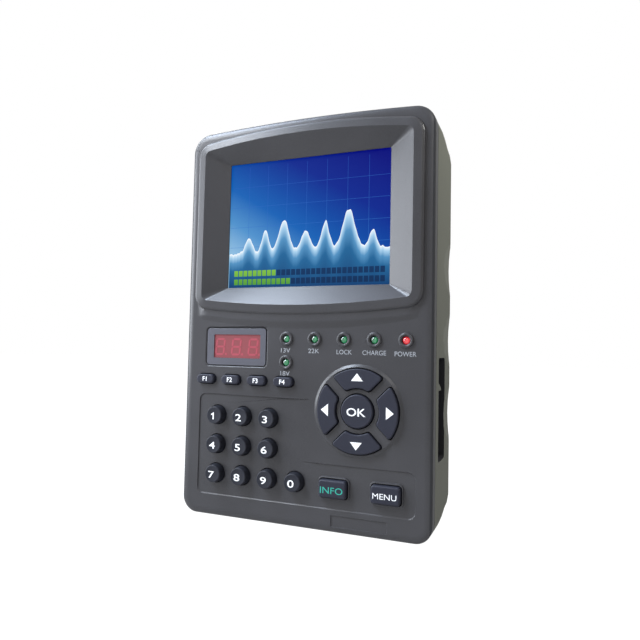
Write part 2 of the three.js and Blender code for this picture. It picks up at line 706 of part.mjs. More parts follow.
function makeFrontCover() {
  const screen = screenRing();
  const face = [];
  for (let i = 0; i <= faceEdgeSteps; i += 1) {
    const angle = (i / faceEdgeSteps) * (Math.PI / 2);
    const inset = faceEdgeReach * (1 - Math.sin(angle));
    const y = faceEdgeRadius * (1 - Math.cos(angle));
    face.push([caseRing(inset, 0), y]);
  }
  face.push([caseRing(0, 0), frontDepth]);
  let cover = loft(face);

  // Hollow behind the face, round the back of the funnel
  const rim = rearWall + fitGap + tongueThickness;
  const slope = (y) => (y + rimHeight - funnelWall) / (funnelDepth + rimHeight);
  const funnelBack = loft([
    [mixRings(mouthRing(0), screen, slope(faceEdgeRadius)), faceEdgeRadius],
    [mixRings(mouthRing(0), screen, slope(lipBack)), lipBack],
  ]);
  const hollow = prism(caseRing(rim, 0), faceWall, frontDepth + overrun);
  cover = cover.subtract(hollow.subtract(funnelBack));
  const tongueEnd = frontDepth + tongueReach;
  const tongue = prism(caseRing(rearWall + fitGap, 0), frontDepth - overrun, tongueEnd)
    .subtract(prism(caseRing(rim, 0), 0, tongueEnd + overrun));
  cover = cover.add(tongue);

  // Rounded rim and funnel, which meet in a crisp edge
  const bead = [[mouthRing(rimOutside), faceWall / 2]];
  for (let i = 0; i <= rimSteps; i += 1) {
    const angle = (i / rimSteps) * (Math.PI / 2);
    const offset = rimFlat + (rimOutside - rimFlat) * Math.cos(angle);
    bead.push([mouthRing(offset), (rimFall - rimHeight) * Math.sin(angle)]);
  }
  bead.push([mouthRing(0), -rimHeight]);
  cover = cover.add(chin()).add(loft(bead));
  cover = cover.subtract(loft([
    [mouthRing(0), -rimHeight - overrun],
    [mouthRing(0), -rimHeight],
    [screen, funnelDepth],
    [screen, lipBack + overrun],
  ]));

  // Arrow pad
  cover = cover.add(turned(padX, padZ, [
    [0, -padHeight], [padRadius - padBevel, -padHeight], [padRadius, 0], [padRadius, faceWall / 2],
    [0, faceWall / 2],
  ], 2 * roundSteps));
  for (const i of arrowKeys.keys()) {
    cover = cover.subtract(prism(arrowRing(i, -fitGap), -padHeight - overrun, faceWall + overrun));
  }
  cover = cover.subtract(rod(padX, padZ, okRadius + fitGap, -padHeight - overrun,
    faceWall + overrun, roundSteps));

  // Sunk fields
  cover = cover.subtract(loft([
    [fieldRing(0), -overrun], [fieldRing(0), 0], [fieldRing(fieldRamp), fieldDepth],
  ]));
  const plateLeft = across(plateLeftShare);
  cover = cover.subtract(box(plateLeft, plateLeft + plateWidth, -overrun, plateDepth,
    plateBottom, plateBottom + plateHeight));

  // Number, soft and wide key holes
  for (const [, x, z] of numberKeys) {
    cover = cover.subtract(rod(x, z, numberKeyRadius + fitGap, -overrun, faceWall + overrun, roundSteps));
  }
  for (const [, x] of softKeys) {
    cover = cover.subtract(prism(softRing(x)(-fitGap), -overrun, faceWall + overrun));
  }
  for (const [, x] of wideKeys) {
    const lip = wideRing(x);
    cover = cover.add(loft([
      [lip(-fitGap - wideCollar / 2), -wideCollarHeight],
      [lip(-fitGap - wideCollar), 0],
      [lip(-fitGap - wideCollar), faceWall / 2],
    ]));
    cover = cover.subtract(prism(lip(-fitGap), -wideCollarHeight - overrun, faceWall + overrun));
  }

  // Read-out recess and lamp collars
  cover = cover.subtract(prism(
    plainRing(readoutX, readoutZ, readoutWidth, readoutHeight, readoutRadius), -overrun, readoutRecess));
  cover = cover.subtract(box(
    digitBlockX - digitBlockWidth / 2 - fitGap, digitBlockX + digitBlockWidth / 2 + fitGap,
    0, faceWall + overrun,
    digitBlockZ - digitBlockHeight / 2 - fitGap, digitBlockZ + digitBlockHeight / 2 + fitGap));
  const lampHole = lampRadius + fitGap;
  for (const [, x, z] of lamps) {
    cover = cover.add(turned(x, z, [
      [0, -collarHeight], [lampHole + collarSink, -collarHeight],
      [(lampHole + collarSink + collarRadius) / 2, -collarHeight * collarCrownShare],
      [collarRadius, 0], [collarRadius, faceWall / 2], [0, faceWall / 2],
    ], bossSteps));
    cover = cover.subtract(turned(x, z, [
      [0, -collarHeight - overrun], [lampHole + collarSink, -collarHeight - overrun],
      [lampHole + collarSink, -collarHeight], [lampHole, collarSink - collarHeight],
      [lampHole, faceWall + overrun], [0, faceWall + overrun],
    ], bossSteps));
  }

  // Bosses for the case screws and the key board, ribs round the screen's tray
  for (const [x, z] of caseScrewPlaces) {
    cover = cover.add(rod(x, z, frontBossRadius, faceWall / 2, frontBossEnd, bossSteps));
    cover = cover.subtract(rod(x, z, caseScrewRadius + fitGap,
      screwSeatY - caseScrewLength, frontBossEnd + overrun));
  }
  for (const [x, z] of keyBoardPosts) {
    cover = cover.add(rod(x, z, boardPostRadius, faceWall / 2, keyBoardY - seatGap));
    cover = cover.subtract(rod(x, z, boardScrewRadius + fitGap, faceWall, keyBoardY));
  }
  for (const side of [-1, 1]) {
    for (const end of [-1, 1]) {
      const x = side * (trayWidth / 2 + fitGap + trayRibThickness / 2);
      const z = screenCentreZ + end * (trayHeight / 2 - trayRibLength);
      cover = cover.add(box(x - trayRibThickness / 2, x + trayRibThickness / 2,
        faceWall, faceWall + trayRibDepth, z - trayRibLength / 2, z + trayRibLength / 2));
    }
  }
  return cover;
}

function makeRearCover() {
  const shell = (inset, yFront, yBack, steps) => {
    const roundStart = caseDepth - backEdgeRadius;
    const rings = [[caseRing(inset, yFront), yFront]];
    for (let i = 0; i < steps; i += 1) {
      const y = THREE.MathUtils.lerp(cornerGrowStart, roundStart, i / (steps - 1));
      rings.push([caseRing(inset, y), y]);
    }
    const radius = yBack - roundStart;
    for (let i = 1; i <= steps; i += 1) {
      const angle = (i / steps) * (Math.PI / 2);
      rings.push([
        caseRing(inset + radius * (1 - Math.cos(angle)), roundStart),
        roundStart + radius * Math.sin(angle),
      ]);
    }
    return loft(rings);
  };
  const outside = shell(0, rearStart, caseDepth, outsideSteps);
  let cover = outside.subtract(shell(rearWall, rearStart - overrun, backWallY, insideSteps));

  // Everything moulded inside, trimmed to the outside of the shell
  let inside = box(-packWidth / 2 - tubWall, packWidth / 2 + tubWall, tubFloorY, caseDepth,
    doorBottom - tubWall + doorLedge, doorTop + tubWall - doorLedge);
  inside = inside.add(box(bayFloorX - bayWall, halfWidth, bayFrontY - bayWall, bayBackY + bayWall,
    bayBottom - bayWall, bayTop + bayWall));
  for (const [x, z] of caseScrewPlaces) {
    inside = inside.add(rod(x, z, rearBossRadius, rearBossY, caseDepth, bossSteps));
  }
  for (const [x, z] of mainBoardPosts) {
    inside = inside.add(rod(x, z, boardPostRadius, mainBoardBack + seatGap, backWallY + rearWall / 2));
  }
  const ring = speakerRadius + fitGap;
  inside = inside.add(
    rod(speakerX, speakerZ, ring + speakerRingWall, backWallY - speakerRingDepth,
      backWallY + rearWall / 2, roundSteps)
      .subtract(rod(speakerX, speakerZ, ring, 0, backWallY, roundSteps)));
  cover = cover.add(inside.intersect(outside));

  // Battery space, door pocket, door screws
  cover = cover.subtract(prism(plainRing(0, packBottom + packHeight / 2, packWidth + 2 * fitGap,
    packHeight + 2 * fitGap, packRadius), tubFloorY + tubFloor, caseDepth + overrun));
  const doorBack = doorY - seatGap;
  cover = cover.subtract(prism(plainRing(0, (doorTop + doorBottom) / 2, doorWidth + 2 * fitGap,
    doorTop - doorBottom + 2 * fitGap, doorRadius), doorBack, caseDepth + overrun));
  for (const side of [-1, 1]) {
    const x = side * doorTabX;
    cover = cover.subtract(box(x - doorTabWidth / 2 - fitGap, x + doorTabWidth / 2 + fitGap, doorBack,
      doorBack + doorTabThickness + 2 * seatGap, doorBottom - doorTabReach - 2 * fitGap, doorBottom));
    cover = cover.subtract(rod(side * doorScrewX, doorScrewZ, doorScrewRadius + fitGap,
      caseDepth - doorSinkDepth - doorScrewLength - seatGap, caseDepth));
  }

  // Wells for the case screws, pilot holes in the posts
  for (const [x, z] of caseScrewPlaces) {
    cover = cover.subtract(rod(x, z, screwWellRadius, screwSeatY - seatGap, caseDepth + overrun,
      bossSteps));
    cover = cover.subtract(rod(x, z, caseScrewRadius + fitGap, rearBossY - overrun, caseDepth));
  }
  for (const [x, z] of mainBoardPosts) {
    cover = cover.subtract(rod(x, z, boardScrewRadius + fitGap, mainBoardY,
      mainBoardBack + mainScrewLength));
  }

  // Sound slots
  for (const [i, share] of soundSlotShares.entries()) {
    const z = speakerZ + (i - (soundSlotShares.length - 1) / 2) * soundSlotPitch;
    cover = cover.subtract(prism(plainRing(speakerX, z, 2 * speakerRadius * share - 2 * speakerRingWall,
      soundSlotWidth, soundSlotWidth / 2), backWallY - overrun, caseDepth + overrun));
  }

  // Connector bay
  const bayMiddleY = (bayFrontY + bayBackY) / 2;
  const bayMiddleZ = (bayBottom + bayTop) / 2;
  cover = cover.subtract(prismAcross(plainRing(bayMiddleY, bayMiddleZ, bayBackY - bayFrontY,
    bayTop - bayBottom, bayRadius), bayFloorX, halfWidth + overrun));
  const tab = [
    [bayFrontY - bayWall / 2, tabBottom], [bayFrontY + tabReach, tabBottom],
    [bayFrontY + tabReach, tabBottom + bayWall / 2], [bayFrontY, tabTop],
    [bayFrontY - bayWall / 2, tabTop],
  ].map(([y, z]) => new THREE.Vector2(y, z));
  cover = cover.add(prismAcross(tab, bayFloorX - bayWall / 2, halfWidth - tabSet));
  const floorBack = bayFloorX - bayWall - overrun;
  cover = cover.subtract(rodAcross(dcY, dcZ, dcNeckRadius + fitGap, floorBack, bayFloorX + overrun,
    roundSteps));
  for (const z of [avInZ, avOutZ]) {
    cover = cover.subtract(rodAcross(avY, z, avNeckRadius + fitGap, floorBack, bayFloorX + overrun,
      roundSteps));
  }
  const slotHalf = (knobHeight + knobTravel) / 2 + fitGap;
  cover = cover.subtract(box(floorBack, bayFloorX + overrun, switchY - knobWidth / 2 - fitGap,
    switchY + knobWidth / 2 + fitGap, switchZ - slotHalf, switchZ + slotHalf));

  // Seat and hole for the aerial connector
  cover = cover.subtract(upright(connectorX, connectorY, [
    [0, tunerTop], [shankRadius + fitGap, tunerTop], [shankRadius + fitGap, spotFaceZ],
    [spotFaceRadius, spotFaceZ], [spotFaceRadius, caseShoulder + caseCrown + overrun],
    [0, caseShoulder + caseCrown + overrun],
  ], roundSteps));

  // Finger scallops
  for (const side of [-1, 1]) {
    for (let i = 0; i < scallopCount; i += 1) {
      const z = upward(scallopTopZShare - i * scallopPitchShare);
      cover = cover.subtract(loft([
        [scallopRing(side, z, 0), scallopStart],
        [scallopRing(side, z, scallopDepth), caseDepth],
        [scallopRing(side, z, scallopDepth), caseDepth + overrun],
      ]));
    }
  }
  return cover;
}

// Outline of what a finger scallop takes from a side wall, down to a depth below it.
function scallopRing(side, z, depth) {
  const chord = scallopLength / 2;
  const bend = (chord * chord + scallopDepth * scallopDepth) / (2 * scallopDepth);
  const half = Math.asin(chord / bend);
  const arc = new THREE.EllipseCurve(bend - depth, 0, bend, bend, Math.PI - half, Math.PI + half);
  const points = arc.getPoints(edgeSteps);
  const outside = overrun + scallopDepth;
  points.push(new THREE.Vector2(outside, -chord), new THREE.Vector2(outside, chord));
  const ring = points.map((p) => new THREE.Vector2(side * (halfWidth + p.x), z + p.y));
  return side > 0 ? ring : ring.toReversed();
}

// A screw with its head at the back (side 1) or at the front (side -1) of its seat.
function screw(x, z, seat, side, { radius, length, head, headHeight }) {
  return turned(x, z, [
    [0, seat + side * headHeight], [head, seat + side * headHeight], [head, seat], [radius, seat],
    [radius, seat - side * length], [0, seat - side * length],
  ]);
}

function makeLamp(x, z) {
  const dome = [];
  for (let i = 0; i < rimSteps / 2; i += 1) {
    const angle = (i / (rimSteps / 2)) * (Math.PI / 2);
    dome.push([lampRadius * Math.sin(angle), lampRadius * (1 - Math.cos(angle)) - lampRise]);
  }
  const flangeY = lampBodyLength - lampFlange;
  let lamp = turned(x, z, [
    ...dome, [lampRadius, lampRadius - lampRise], [lampRadius, flangeY],
    [lampRadius + lampFlangeMargin, flangeY], [lampRadius + lampFlangeMargin, lampBodyLength],
    [0, lampBodyLength],
  ]);
  for (const side of [-1, 1]) {
    const legX = x + (side * legPitch) / 2;
    lamp = lamp.add(box(legX - legSize / 2, legX + legSize / 2, flangeY, keyBoardY - seatGap,
      z - legSize / 2, z + legSize / 2));
  }
  return lamp;
}

// The two-part screen: a glass cell in front, held by a shallow tray.
const glassY = lipBack + seatGap;
const trayY = glassY + glassThickness / 2;
function makeScreenGlass() {
  return prism(plainRing(0, screenCentreZ, screenWidth + 2 * glassMargin, screenHeight + 2 * glassMargin,
    screenCornerRadius), glassY, glassY + glassThickness);
}
function makeScreenTray() {
  const pocket = prism(plainRing(0, screenCentreZ, screenWidth + 2 * (glassMargin + fitGap),
    screenHeight + 2 * (glassMargin + fitGap), screenCornerRadius), 0, glassY + glassThickness + seatGap);
  let tray = prism(plainRing(0, screenCentreZ, trayWidth, trayHeight, screenCornerRadius),
    trayY, trayY + trayThickness).subtract(pocket);
  for (const [x, z] of caseScrewPlaces) {
    tray = tray.subtract(rod(x, z, frontBossRadius + fitGap, 0, frontBossEnd, bossSteps));
  }
  return tray;
}

function makeReadoutWindow() {
  const back = readoutRecess - seatGap;
  return prism(plainRing(readoutX, readoutZ, readoutWidth - 2 * fitGap, readoutHeight - 2 * fitGap,
    readoutRadius - fitGap), back - windowThickness, back);
}

function makeDigitBlock() {
  return box(digitBlockX - digitBlockWidth / 2, digitBlockX + digitBlockWidth / 2,
    readoutRecess, keyBoardY - seatGap,
    digitBlockZ - digitBlockHeight / 2, digitBlockZ + digitBlockHeight / 2);
}

// Room in the lower corners of the keypad for the case screws' bosses.
function bossNotches() {
  const notch = frontBossRadius + 2 * fitGap;
  const top = lowerScrewZ + notch;
  const inner = lowerScrewX - notch;
  return box(-caseWidth, -inner, 0, mainBoardY, 0, top).add(box(inner, caseWidth, 0, mainBoardY, 0, top));
}

function makeKeypadMat() {
  const top = softKeyZ + softKeyHeight / 2 + matMargin;
  const side = padX + padRadius + matMargin;
  let mat = prism(plainRing(0, (top + bottomCornerRadius) / 2, 2 * side, top - bottomCornerRadius,
    boardCornerRadius), matY, matY + matThickness);
  for (const [x, z] of keyBoardPosts) {
    mat = mat.subtract(rod(x, z, boardPostRadius + fitGap, 0, keyBoardY));
  }
  return mat.subtract(bossNotches());
}

function makeKeyBoard() {
  const bottom = keyBoardMargin - boardCornerRadius / 2;
  let board = prism(plainRing(0, (keyBoardTop + bottom) / 2, 2 * keyBoardHalf, keyBoardTop - bottom,
    boardCornerRadius), keyBoardY, keyBoardY + boardThickness);
  board = board.subtract(bossNotches());
  for (const [x, z] of keyBoardPosts) {
    board = board.subtract(rod(x, z, boardScrewRadius + fitGap, 0, mainBoardY));
  }
  return board;
}

function makeMainBoard() {
  let board = prism(plainRing((mainBoardLeft + mainBoardRight) / 2, (mainBoardTop + mainBoardBottom) / 2,
    mainBoardRight - mainBoardLeft, mainBoardTop - mainBoardBottom, boardCornerRadius),
  mainBoardY, mainBoardBack);
  for (const [x, z] of mainBoardPosts) {
    board = board.subtract(rod(x, z, boardScrewRadius + fitGap, 0, caseDepth));
  }
  return board;
}

function makeSpeaker() {
  const back = backWallY - seatGap;
  return turned(speakerX, speakerZ, [
    [0, back - speakerDepth],
    ...coneShares.map(([r, y]) => [speakerRadius * r, back - speakerDepth * (1 - y)]),
    [speakerRadius, back - speakerDepth * (1 - coneShares.at(-1)[1])], [speakerRadius, back], [0, back],
  ], roundSteps);
}

function makeTuner() {
  const front = mainBoardBack + seatGap;
  return box(tunerLeft, tunerLeft + tunerWidth, front, front + tunerThickness,
    tunerTop - tunerHeight, tunerTop);
}

function makeAerialConnector() {
  const hexBottom = spotFaceZ + seatGap;
  const threadTop = hexBottom + hexHeight + threadLength;
  const face = threadTop - insulatorSink;
  const bevel = threadRadius - shankRadius;
  const body = upright(connectorX, connectorY, [
    [0, tunerTop + seatGap], [shankRadius, tunerTop + seatGap], [shankRadius, hexBottom + hexHeight / 2],
    [threadRadius, hexBottom + hexHeight / 2], [threadRadius, threadTop - bevel], [shankRadius, threadTop],
    [mouthFaceRadius, threadTop], [mouthFaceRadius, face], [contactRadius, face],
    [contactRadius, face - contactDepth], [0, face - contactDepth],
  ], roundSteps);
  const hexRadius = hexAcross / Math.sqrt(3);
  return body.add(upright(connectorX, connectorY, [
    [0, hexBottom], [hexRadius, hexBottom], [hexRadius, hexBottom + hexHeight], [0, hexBottom + hexHeight],
  ], 6));
}

function makeBattery() {
  return prism(plainRing(0, packBottom + packHeight / 2, packWidth, packHeight, packRadius),
    tubFloorY + tubFloor + seatGap, doorY - 2 * seatGap);
}

function makeBatteryDoor() {
  let door = prism(plainRing(0, (doorTop + doorBottom) / 2, doorWidth, doorTop - doorBottom, doorRadius),
    doorY, caseDepth);
  for (const side of [-1, 1]) {
    const x = side * doorTabX;
    door = door.add(box(x - doorTabWidth / 2, x + doorTabWidth / 2, doorY, doorY + doorTabThickness,
      doorBottom - doorTabReach, doorBottom + doorTabReach));
    door = door.subtract(rod(side * doorScrewX, doorScrewZ, doorScrewHead + fitGap,
      caseDepth - doorSinkDepth, caseDepth + overrun));
    door = door.subtract(rod(side * doorScrewX, doorScrewZ, doorScrewRadius + fitGap, 0, caseDepth));
  }
  for (const i of [-1, 0, 1]) {
    const z = packBottom + packHeight / 2 + i * gripSlotPitch;
    door = door.subtract(box(-gripSlotLength / 2, gripSlotLength / 2, caseDepth - gripSlotDepth,
      caseDepth + overrun, z - gripSlotWidth / 2, z + gripSlotWidth / 2));
  }
  return door;
}

// Jacks stand on the main board, with their necks through the bay's floor.
const jackBack = mainBoardY - seatGap;
const neckEnd = bayFloorX + neckRise;
const bodyEnd = bayFloorX - bayWall - seatGap;
function makeDcJack() {
  const half = dcBodySize / 2;
  return box(bodyEnd - dcBodyLength, bodyEnd, dcY - half, jackBack, dcZ - half, dcZ + half)
    .add(rodAcross(dcY, dcZ, dcNeckRadius, bodyEnd - overrun, neckEnd, roundSteps))
    .subtract(turnedAcross(dcY, dcZ, [
      [0, neckEnd - dcPinSink], [dcPinRadius, neckEnd - dcPinSink], [dcPinRadius, neckEnd - dcBoreDepth],
      [dcBoreRadius, neckEnd - dcBoreDepth], [dcBoreRadius, neckEnd + overrun], [0, neckEnd + overrun],
    ], roundSteps));
}

function makeAvJack(z) {
  const half = avBodySize / 2;
  return box(bodyEnd - avBodyLength, bodyEnd, avY - half, jackBack, z - half, z + half)
    .add(rodAcross(avY, z, avNeckRadius, bodyEnd - overrun, neckEnd, roundSteps))
    .subtract(rodAcross(avY, z, avBoreRadius, neckEnd - avBoreDepth, neckEnd + overrun));
}

function makeSwitchBody() {
  const half = switchBodyWidth / 2;
  const slot = (knobHeight + knobTravel) / 2 + fitGap;
  return box(bodyEnd - switchBodyLength, bodyEnd, switchY - switchBodyDepth / 2, jackBack,
    switchZ - half, switchZ + half)
    .subtract(box(bodyEnd - knobRoot - seatGap, bodyEnd + overrun, switchY - knobWidth / 2 - fitGap,
      switchY + knobWidth / 2 + fitGap, switchZ - slot, switchZ + slot));
}

function makeSwitchKnob() {
  const z = switchZ - knobTravel / 2;
  const end = bayFloorX + knobRise;
  let knob = box(bodyEnd - knobRoot, end, switchY - knobWidth / 2, switchY + knobWidth / 2,
    z - knobHeight / 2, z + knobHeight / 2);
  for (const side of [-1, 1]) {
    const grooveZ = z + (side * knobHeight) / 4;
    knob = knob.subtract(box(end - knobGroove, end + overrun, 0, caseDepth,
      grooveZ - knobGroove / 2, grooveZ + knobGroove / 2));
  }
  return knob;
}

// Finishes, from the photograph
const finish = (color, roughness, metalness = 0) => ({ color, roughness, metalness });
const frontGrey = finish(0x4d4e52, 0.42);
const rearGrey = finish(0x4b4c47, 0.55);
const keyRubber = finish(0x1d1f25, 0.7);
const screenBlue = finish(0x1c4fa8, 0.3);
const clearWindow = finish(0x8a8d94, 0.15);
const digitRed = finish(0x8c2830, 0.35);
const lampGreen = finish(0x135a30, 0.2);
const lampRed = finish(0xd01c24, 0.2);
const boardGreen = finish(0x17482c, 0.6);
const tinPlate = finish(0xb9bbb8, 0.35, 0.9);
const blackPlastic = finish(0x151515, 0.5);
const zincSteel = finish(0x8d8f92, 0.4, 0.9);
const packBlue = finish(0x24446f, 0.45);

const instrument = new THREE.Group();
instrument.position.y = (numberKeyRise - caseDepth) / 2;

function place(name, piece, { color, roughness, metalness }) {
  const { vertProperties, triVerts } = piece.getMesh();
  const geometry = new THREE.BufferGeometry();
  geometry.setAttribute('position', new THREE.BufferAttribute(vertProperties, 3));
  geometry.setIndex(new THREE.BufferAttribute(triVerts, 1));
  geometry.computeVertexNormals();
  const material = new THREE.MeshStandardMaterial({ color, roughness, metalness });
  const mesh = new THREE.Mesh(geometry, material);
  mesh.name = name;
  instrument.add(mesh);
}

place('front_cover', makeFrontCover(), frontGrey);
place('rear_cover', makeRearCover(), rearGrey);
place('screen_glass', makeScreenGlass(), screenBlue);
place('screen_tray', makeScreenTray(), tinPlate);
place('readout_window', makeReadoutWindow(), clearWindow);
place('digit_block', makeDigitBlock(), digitRed);
for (const [name, x, z] of lamps) {
  place(name, makeLamp(x, z), name === 'led_power' ? lampRed : lampGreen);
}
for (const [name, x, z] of numberKeys) {
  place(name, roundKey(x, z, numberKeyRadius, numberKeyRise, dishShares), keyRubber);
}
for (const [name, x, z] of softKeys) {
  place(name, profiledKey(softRing(x), softKeyRise, x, z), keyRubber);
}
for (const [name, x, z] of wideKeys) {
  place(name, profiledKey(wideRing(x), wideKeyRise, x, z), keyRubber);
}
for (const [i, name] of arrowKeys.entries()) {
  const angle = (i * Math.PI) / 2;
  const middle = (arrowOuterRadius + arrowInnerRadius) / 2;
  const ring = (inset) => arrowRing(i, inset);
  place(name, profiledKey(ring, arrowRise, padX + middle * Math.cos(angle),
    padZ + middle * Math.sin(angle)), keyRubber);
}
place('key_ok', roundKey(padX, padZ, okRadius, okRise, okDishShares), keyRubber);
place('keypad_mat', makeKeypadMat(), blackPlastic);
place('key_board', makeKeyBoard(), boardGreen);
for (const [i, [x, z]] of keyBoardPosts.entries()) {
  place(`key_board_screw_${i + 1}`, screw(x, z, keyBoardY + boardThickness + seatGap, 1, {
    radius: boardScrewRadius, length: boardScrewLength, head: boardScrewHead,
    headHeight: boardScrewHeadHeight,
  }), zincSteel);
}
place('main_board', makeMainBoard(), boardGreen);
for (const [i, [x, z]] of [mainBoardPosts[0], mainBoardPosts.at(-1)].entries()) {
  place(`main_board_screw_${i + 1}`, screw(x, z, mainBoardY - seatGap, -1, {
    radius: boardScrewRadius, length: mainScrewLength, head: boardScrewHead,
    headHeight: boardScrewHeadHeight,
  }), zincSteel);
}
place('tuner_can', makeTuner(), tinPlate);
place('aerial_connector', makeAerialConnector(), tinPlate);
place('speaker', makeSpeaker(), blackPlastic);
place('battery_pack', makeBattery(), packBlue);
place('battery_door', makeBatteryDoor(), rearGrey);
for (const [i, side] of [-1, 1].entries()) {
  place(`door_screw_${i + 1}`, screw(side * doorScrewX, doorScrewZ,
    caseDepth - doorSinkDepth + fitGap, 1, {
      radius: doorScrewRadius, length: doorScrewLength, head: doorScrewHead,
      headHeight: doorScrewHeadHeight,
    }), zincSteel);
}
for (const [i, [x, z]] of caseScrewPlaces.entries()) {
  place(`case_screw_${i + 1}`, screw(x, z, screwSeatY, 1, {
    radius: caseScrewRadius, length: caseScrewLength, head: caseScrewHead,
    headHeight: caseScrewHeadHeight,
  }), zincSteel);
}
place('dc_jack', makeDcJack(), blackPlastic);
place('av_in_jack', makeAvJack(avInZ), blackPlastic);
place('av_out_jack', makeAvJack(avOutZ), blackPlastic);
place('switch_body', makeSwitchBody(), tinPlate);
place('switch_knob', makeSwitchKnob(), blackPlastic);

export default instrument;
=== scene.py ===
import json
import math

import bmesh
import bpy
from mathutils import Matrix, Vector, noise


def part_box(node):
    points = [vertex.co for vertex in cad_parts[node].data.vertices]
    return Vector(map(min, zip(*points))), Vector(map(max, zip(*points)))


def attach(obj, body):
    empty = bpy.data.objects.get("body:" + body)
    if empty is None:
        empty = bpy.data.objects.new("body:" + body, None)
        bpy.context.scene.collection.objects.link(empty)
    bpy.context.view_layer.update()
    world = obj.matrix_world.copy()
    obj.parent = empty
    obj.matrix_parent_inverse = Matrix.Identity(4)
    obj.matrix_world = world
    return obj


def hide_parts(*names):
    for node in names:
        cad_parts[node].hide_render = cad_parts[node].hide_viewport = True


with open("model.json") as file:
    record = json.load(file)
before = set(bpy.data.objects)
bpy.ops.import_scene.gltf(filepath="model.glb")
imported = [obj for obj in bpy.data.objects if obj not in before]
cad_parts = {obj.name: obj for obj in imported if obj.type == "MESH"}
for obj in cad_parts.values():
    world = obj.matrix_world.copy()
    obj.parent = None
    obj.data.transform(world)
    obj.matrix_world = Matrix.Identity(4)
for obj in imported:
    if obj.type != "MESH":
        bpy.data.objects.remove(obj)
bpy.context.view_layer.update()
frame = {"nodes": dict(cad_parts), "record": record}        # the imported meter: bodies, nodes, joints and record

mm = 0.001
quarter = math.pi / 2

# the moulded case, in millimetres; depth is counted from the flat front face
case = {
    "width": 105, "shoulder": 160.3, "crown": 1.3, "depth": 40, "frontDepth": 5,
    "topCorner": 8, "bottomCorner": 6.5, "edgeRound": 1.2, "edgeReach": 3.2, "wall": 2, "rimWall": 3.3,
    "tongueInset": 2.3, "tongueReach": 2,
}
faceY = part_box("rear_cover")[1][1] / mm - case["depth"]
halfWidth = case["width"] / 2


# Helpers for shapes
def nodeSpan(node):
    # left, right, front, back, bottom and top of a CAD node
    low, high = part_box(node)
    return [end[i] / mm - (faceY if i == 1 else 0) for i in range(3) for end in (low, high)]


def middle(node):
    left, right, _, _, bottom, top = nodeSpan(node)
    return (left + right) / 2, (bottom + top) / 2


def bend(count):
    # sine and cosine in steps over a quarter turn
    return [(math.sin(i / count * quarter), math.cos(i / count * quarter)) for i in range(count + 1)]


def arc(x, z, radius, start, end, steps):
    angles = [start + (end - start) * i / steps for i in range(steps + 1)]
    return [(x + radius * math.cos(angle), z + radius * math.sin(angle)) for angle in angles]


def outline(left, right, bottom, top, topRadius, bottomRadius=None, crown=0, bulge=0, steps=10):
    # anticlockwise from the left end of the bottom edge, corners as arcs, long edges as parabolas
    upper = max(topRadius, 0.2)
    lower = max(topRadius if bottomRadius is None else bottomRadius, 0.2)
    rise = math.atan(4 * crown / (right - left - 2 * upper))
    fall = math.atan(4 * bulge / (right - left - 2 * lower))

    def bow(start, end, slope):
        sag = (start[0] - end[0]) * math.tan(slope) / 4
        count = 12 if slope else 1
        return [(start[0] + (end[0] - start[0]) * i / count,
                 start[1] + (end[1] - start[1]) * i / count + sag * 4 * (i / count) * (1 - i / count))
                for i in range(1, count)]

    lowLeft = arc(left + lower, bottom + lower, lower, 2 * quarter, 3 * quarter - fall, steps)
    lowRight = arc(right - lower, bottom + lower, lower, 3 * quarter + fall, 4 * quarter, steps)
    highRight = arc(right - upper, top - upper, upper, 0, quarter - rise, steps)
    highLeft = arc(left + upper, top - upper, upper, quarter + rise, 2 * quarter, steps)
    return (lowLeft + bow(lowLeft[-1], lowRight[0], fall) + lowRight
            + highRight + bow(highRight[-1], highLeft[0], rise) + highLeft)


def block(x, z, width, height, radius, inset=0, steps=6):
    return outline(x - width / 2 + inset, x + width / 2 - inset, z - height / 2 + inset,
                   z + height / 2 - inset, max(radius - inset, 0.2), steps=steps)


def loft(bm, rings):
    # each ring is a list of places and a depth; the edge loop is extruded from ring to ring
    points, depth = rings[0]
    verts = [bm.verts.new((x, faceY + depth, z)) for x, z in points]
    edges = [bm.edges.new((verts[i - 1], verts[i])) for i in range(len(verts))]
    bm.faces.new(list(reversed(verts)))
    for points, depth in rings[1:]:
        grown = bmesh.ops.extrude_edge_only(bm, edges=edges)["geom"]
        fresh = {g for g in grown if isinstance(g, bmesh.types.BMVert)}
        edges = [g for g in grown if isinstance(g, bmesh.types.BMEdge)
                 and g.verts[0] in fresh and g.verts[1] in fresh]
        verts = [next(e.other_vert(v) for e in v.link_edges if e.other_vert(v) in fresh) for v in verts]
        for v, (x, z) in zip(verts, points):
            v.co = (x, faceY + depth, z)
    bm.faces.new(verts)


def prism(bm, points, front, back):
    loft(bm, [(points, front), (points, back)])


def turned(bm, x, z, profile, steps=48):
    # profile of radius and depth, both ends on the axis, spun about a line along Y
    verts = [bm.verts.new((x + r, faceY + depth, z)) for r, depth in profile]
    edges = [bm.edges.new(pair) for pair in zip(verts, verts[1:])]
    bmesh.ops.spin(bm, geom=verts + edges, cent=(x, faceY, z), axis=(0, 1, 0),
                   angle=2 * math.pi, steps=steps, use_merge=True)


def rod(bm, x, z, radius, front, back, steps=48):
    turned(bm, x, z, [(0, front), (radius, front), (radius, back), (0, back)], steps)


def cuboid(bm, left, right, front, back, bottom, top):
    # front and back are depths
    size = Matrix.Diagonal((right - left, back - front, top - bottom, 1))
    place = Matrix.Translation(((left + right) / 2, faceY + (front + back) / 2, (bottom + top) / 2))
    bmesh.ops.create_cube(bm, size=1, matrix=place @ size)


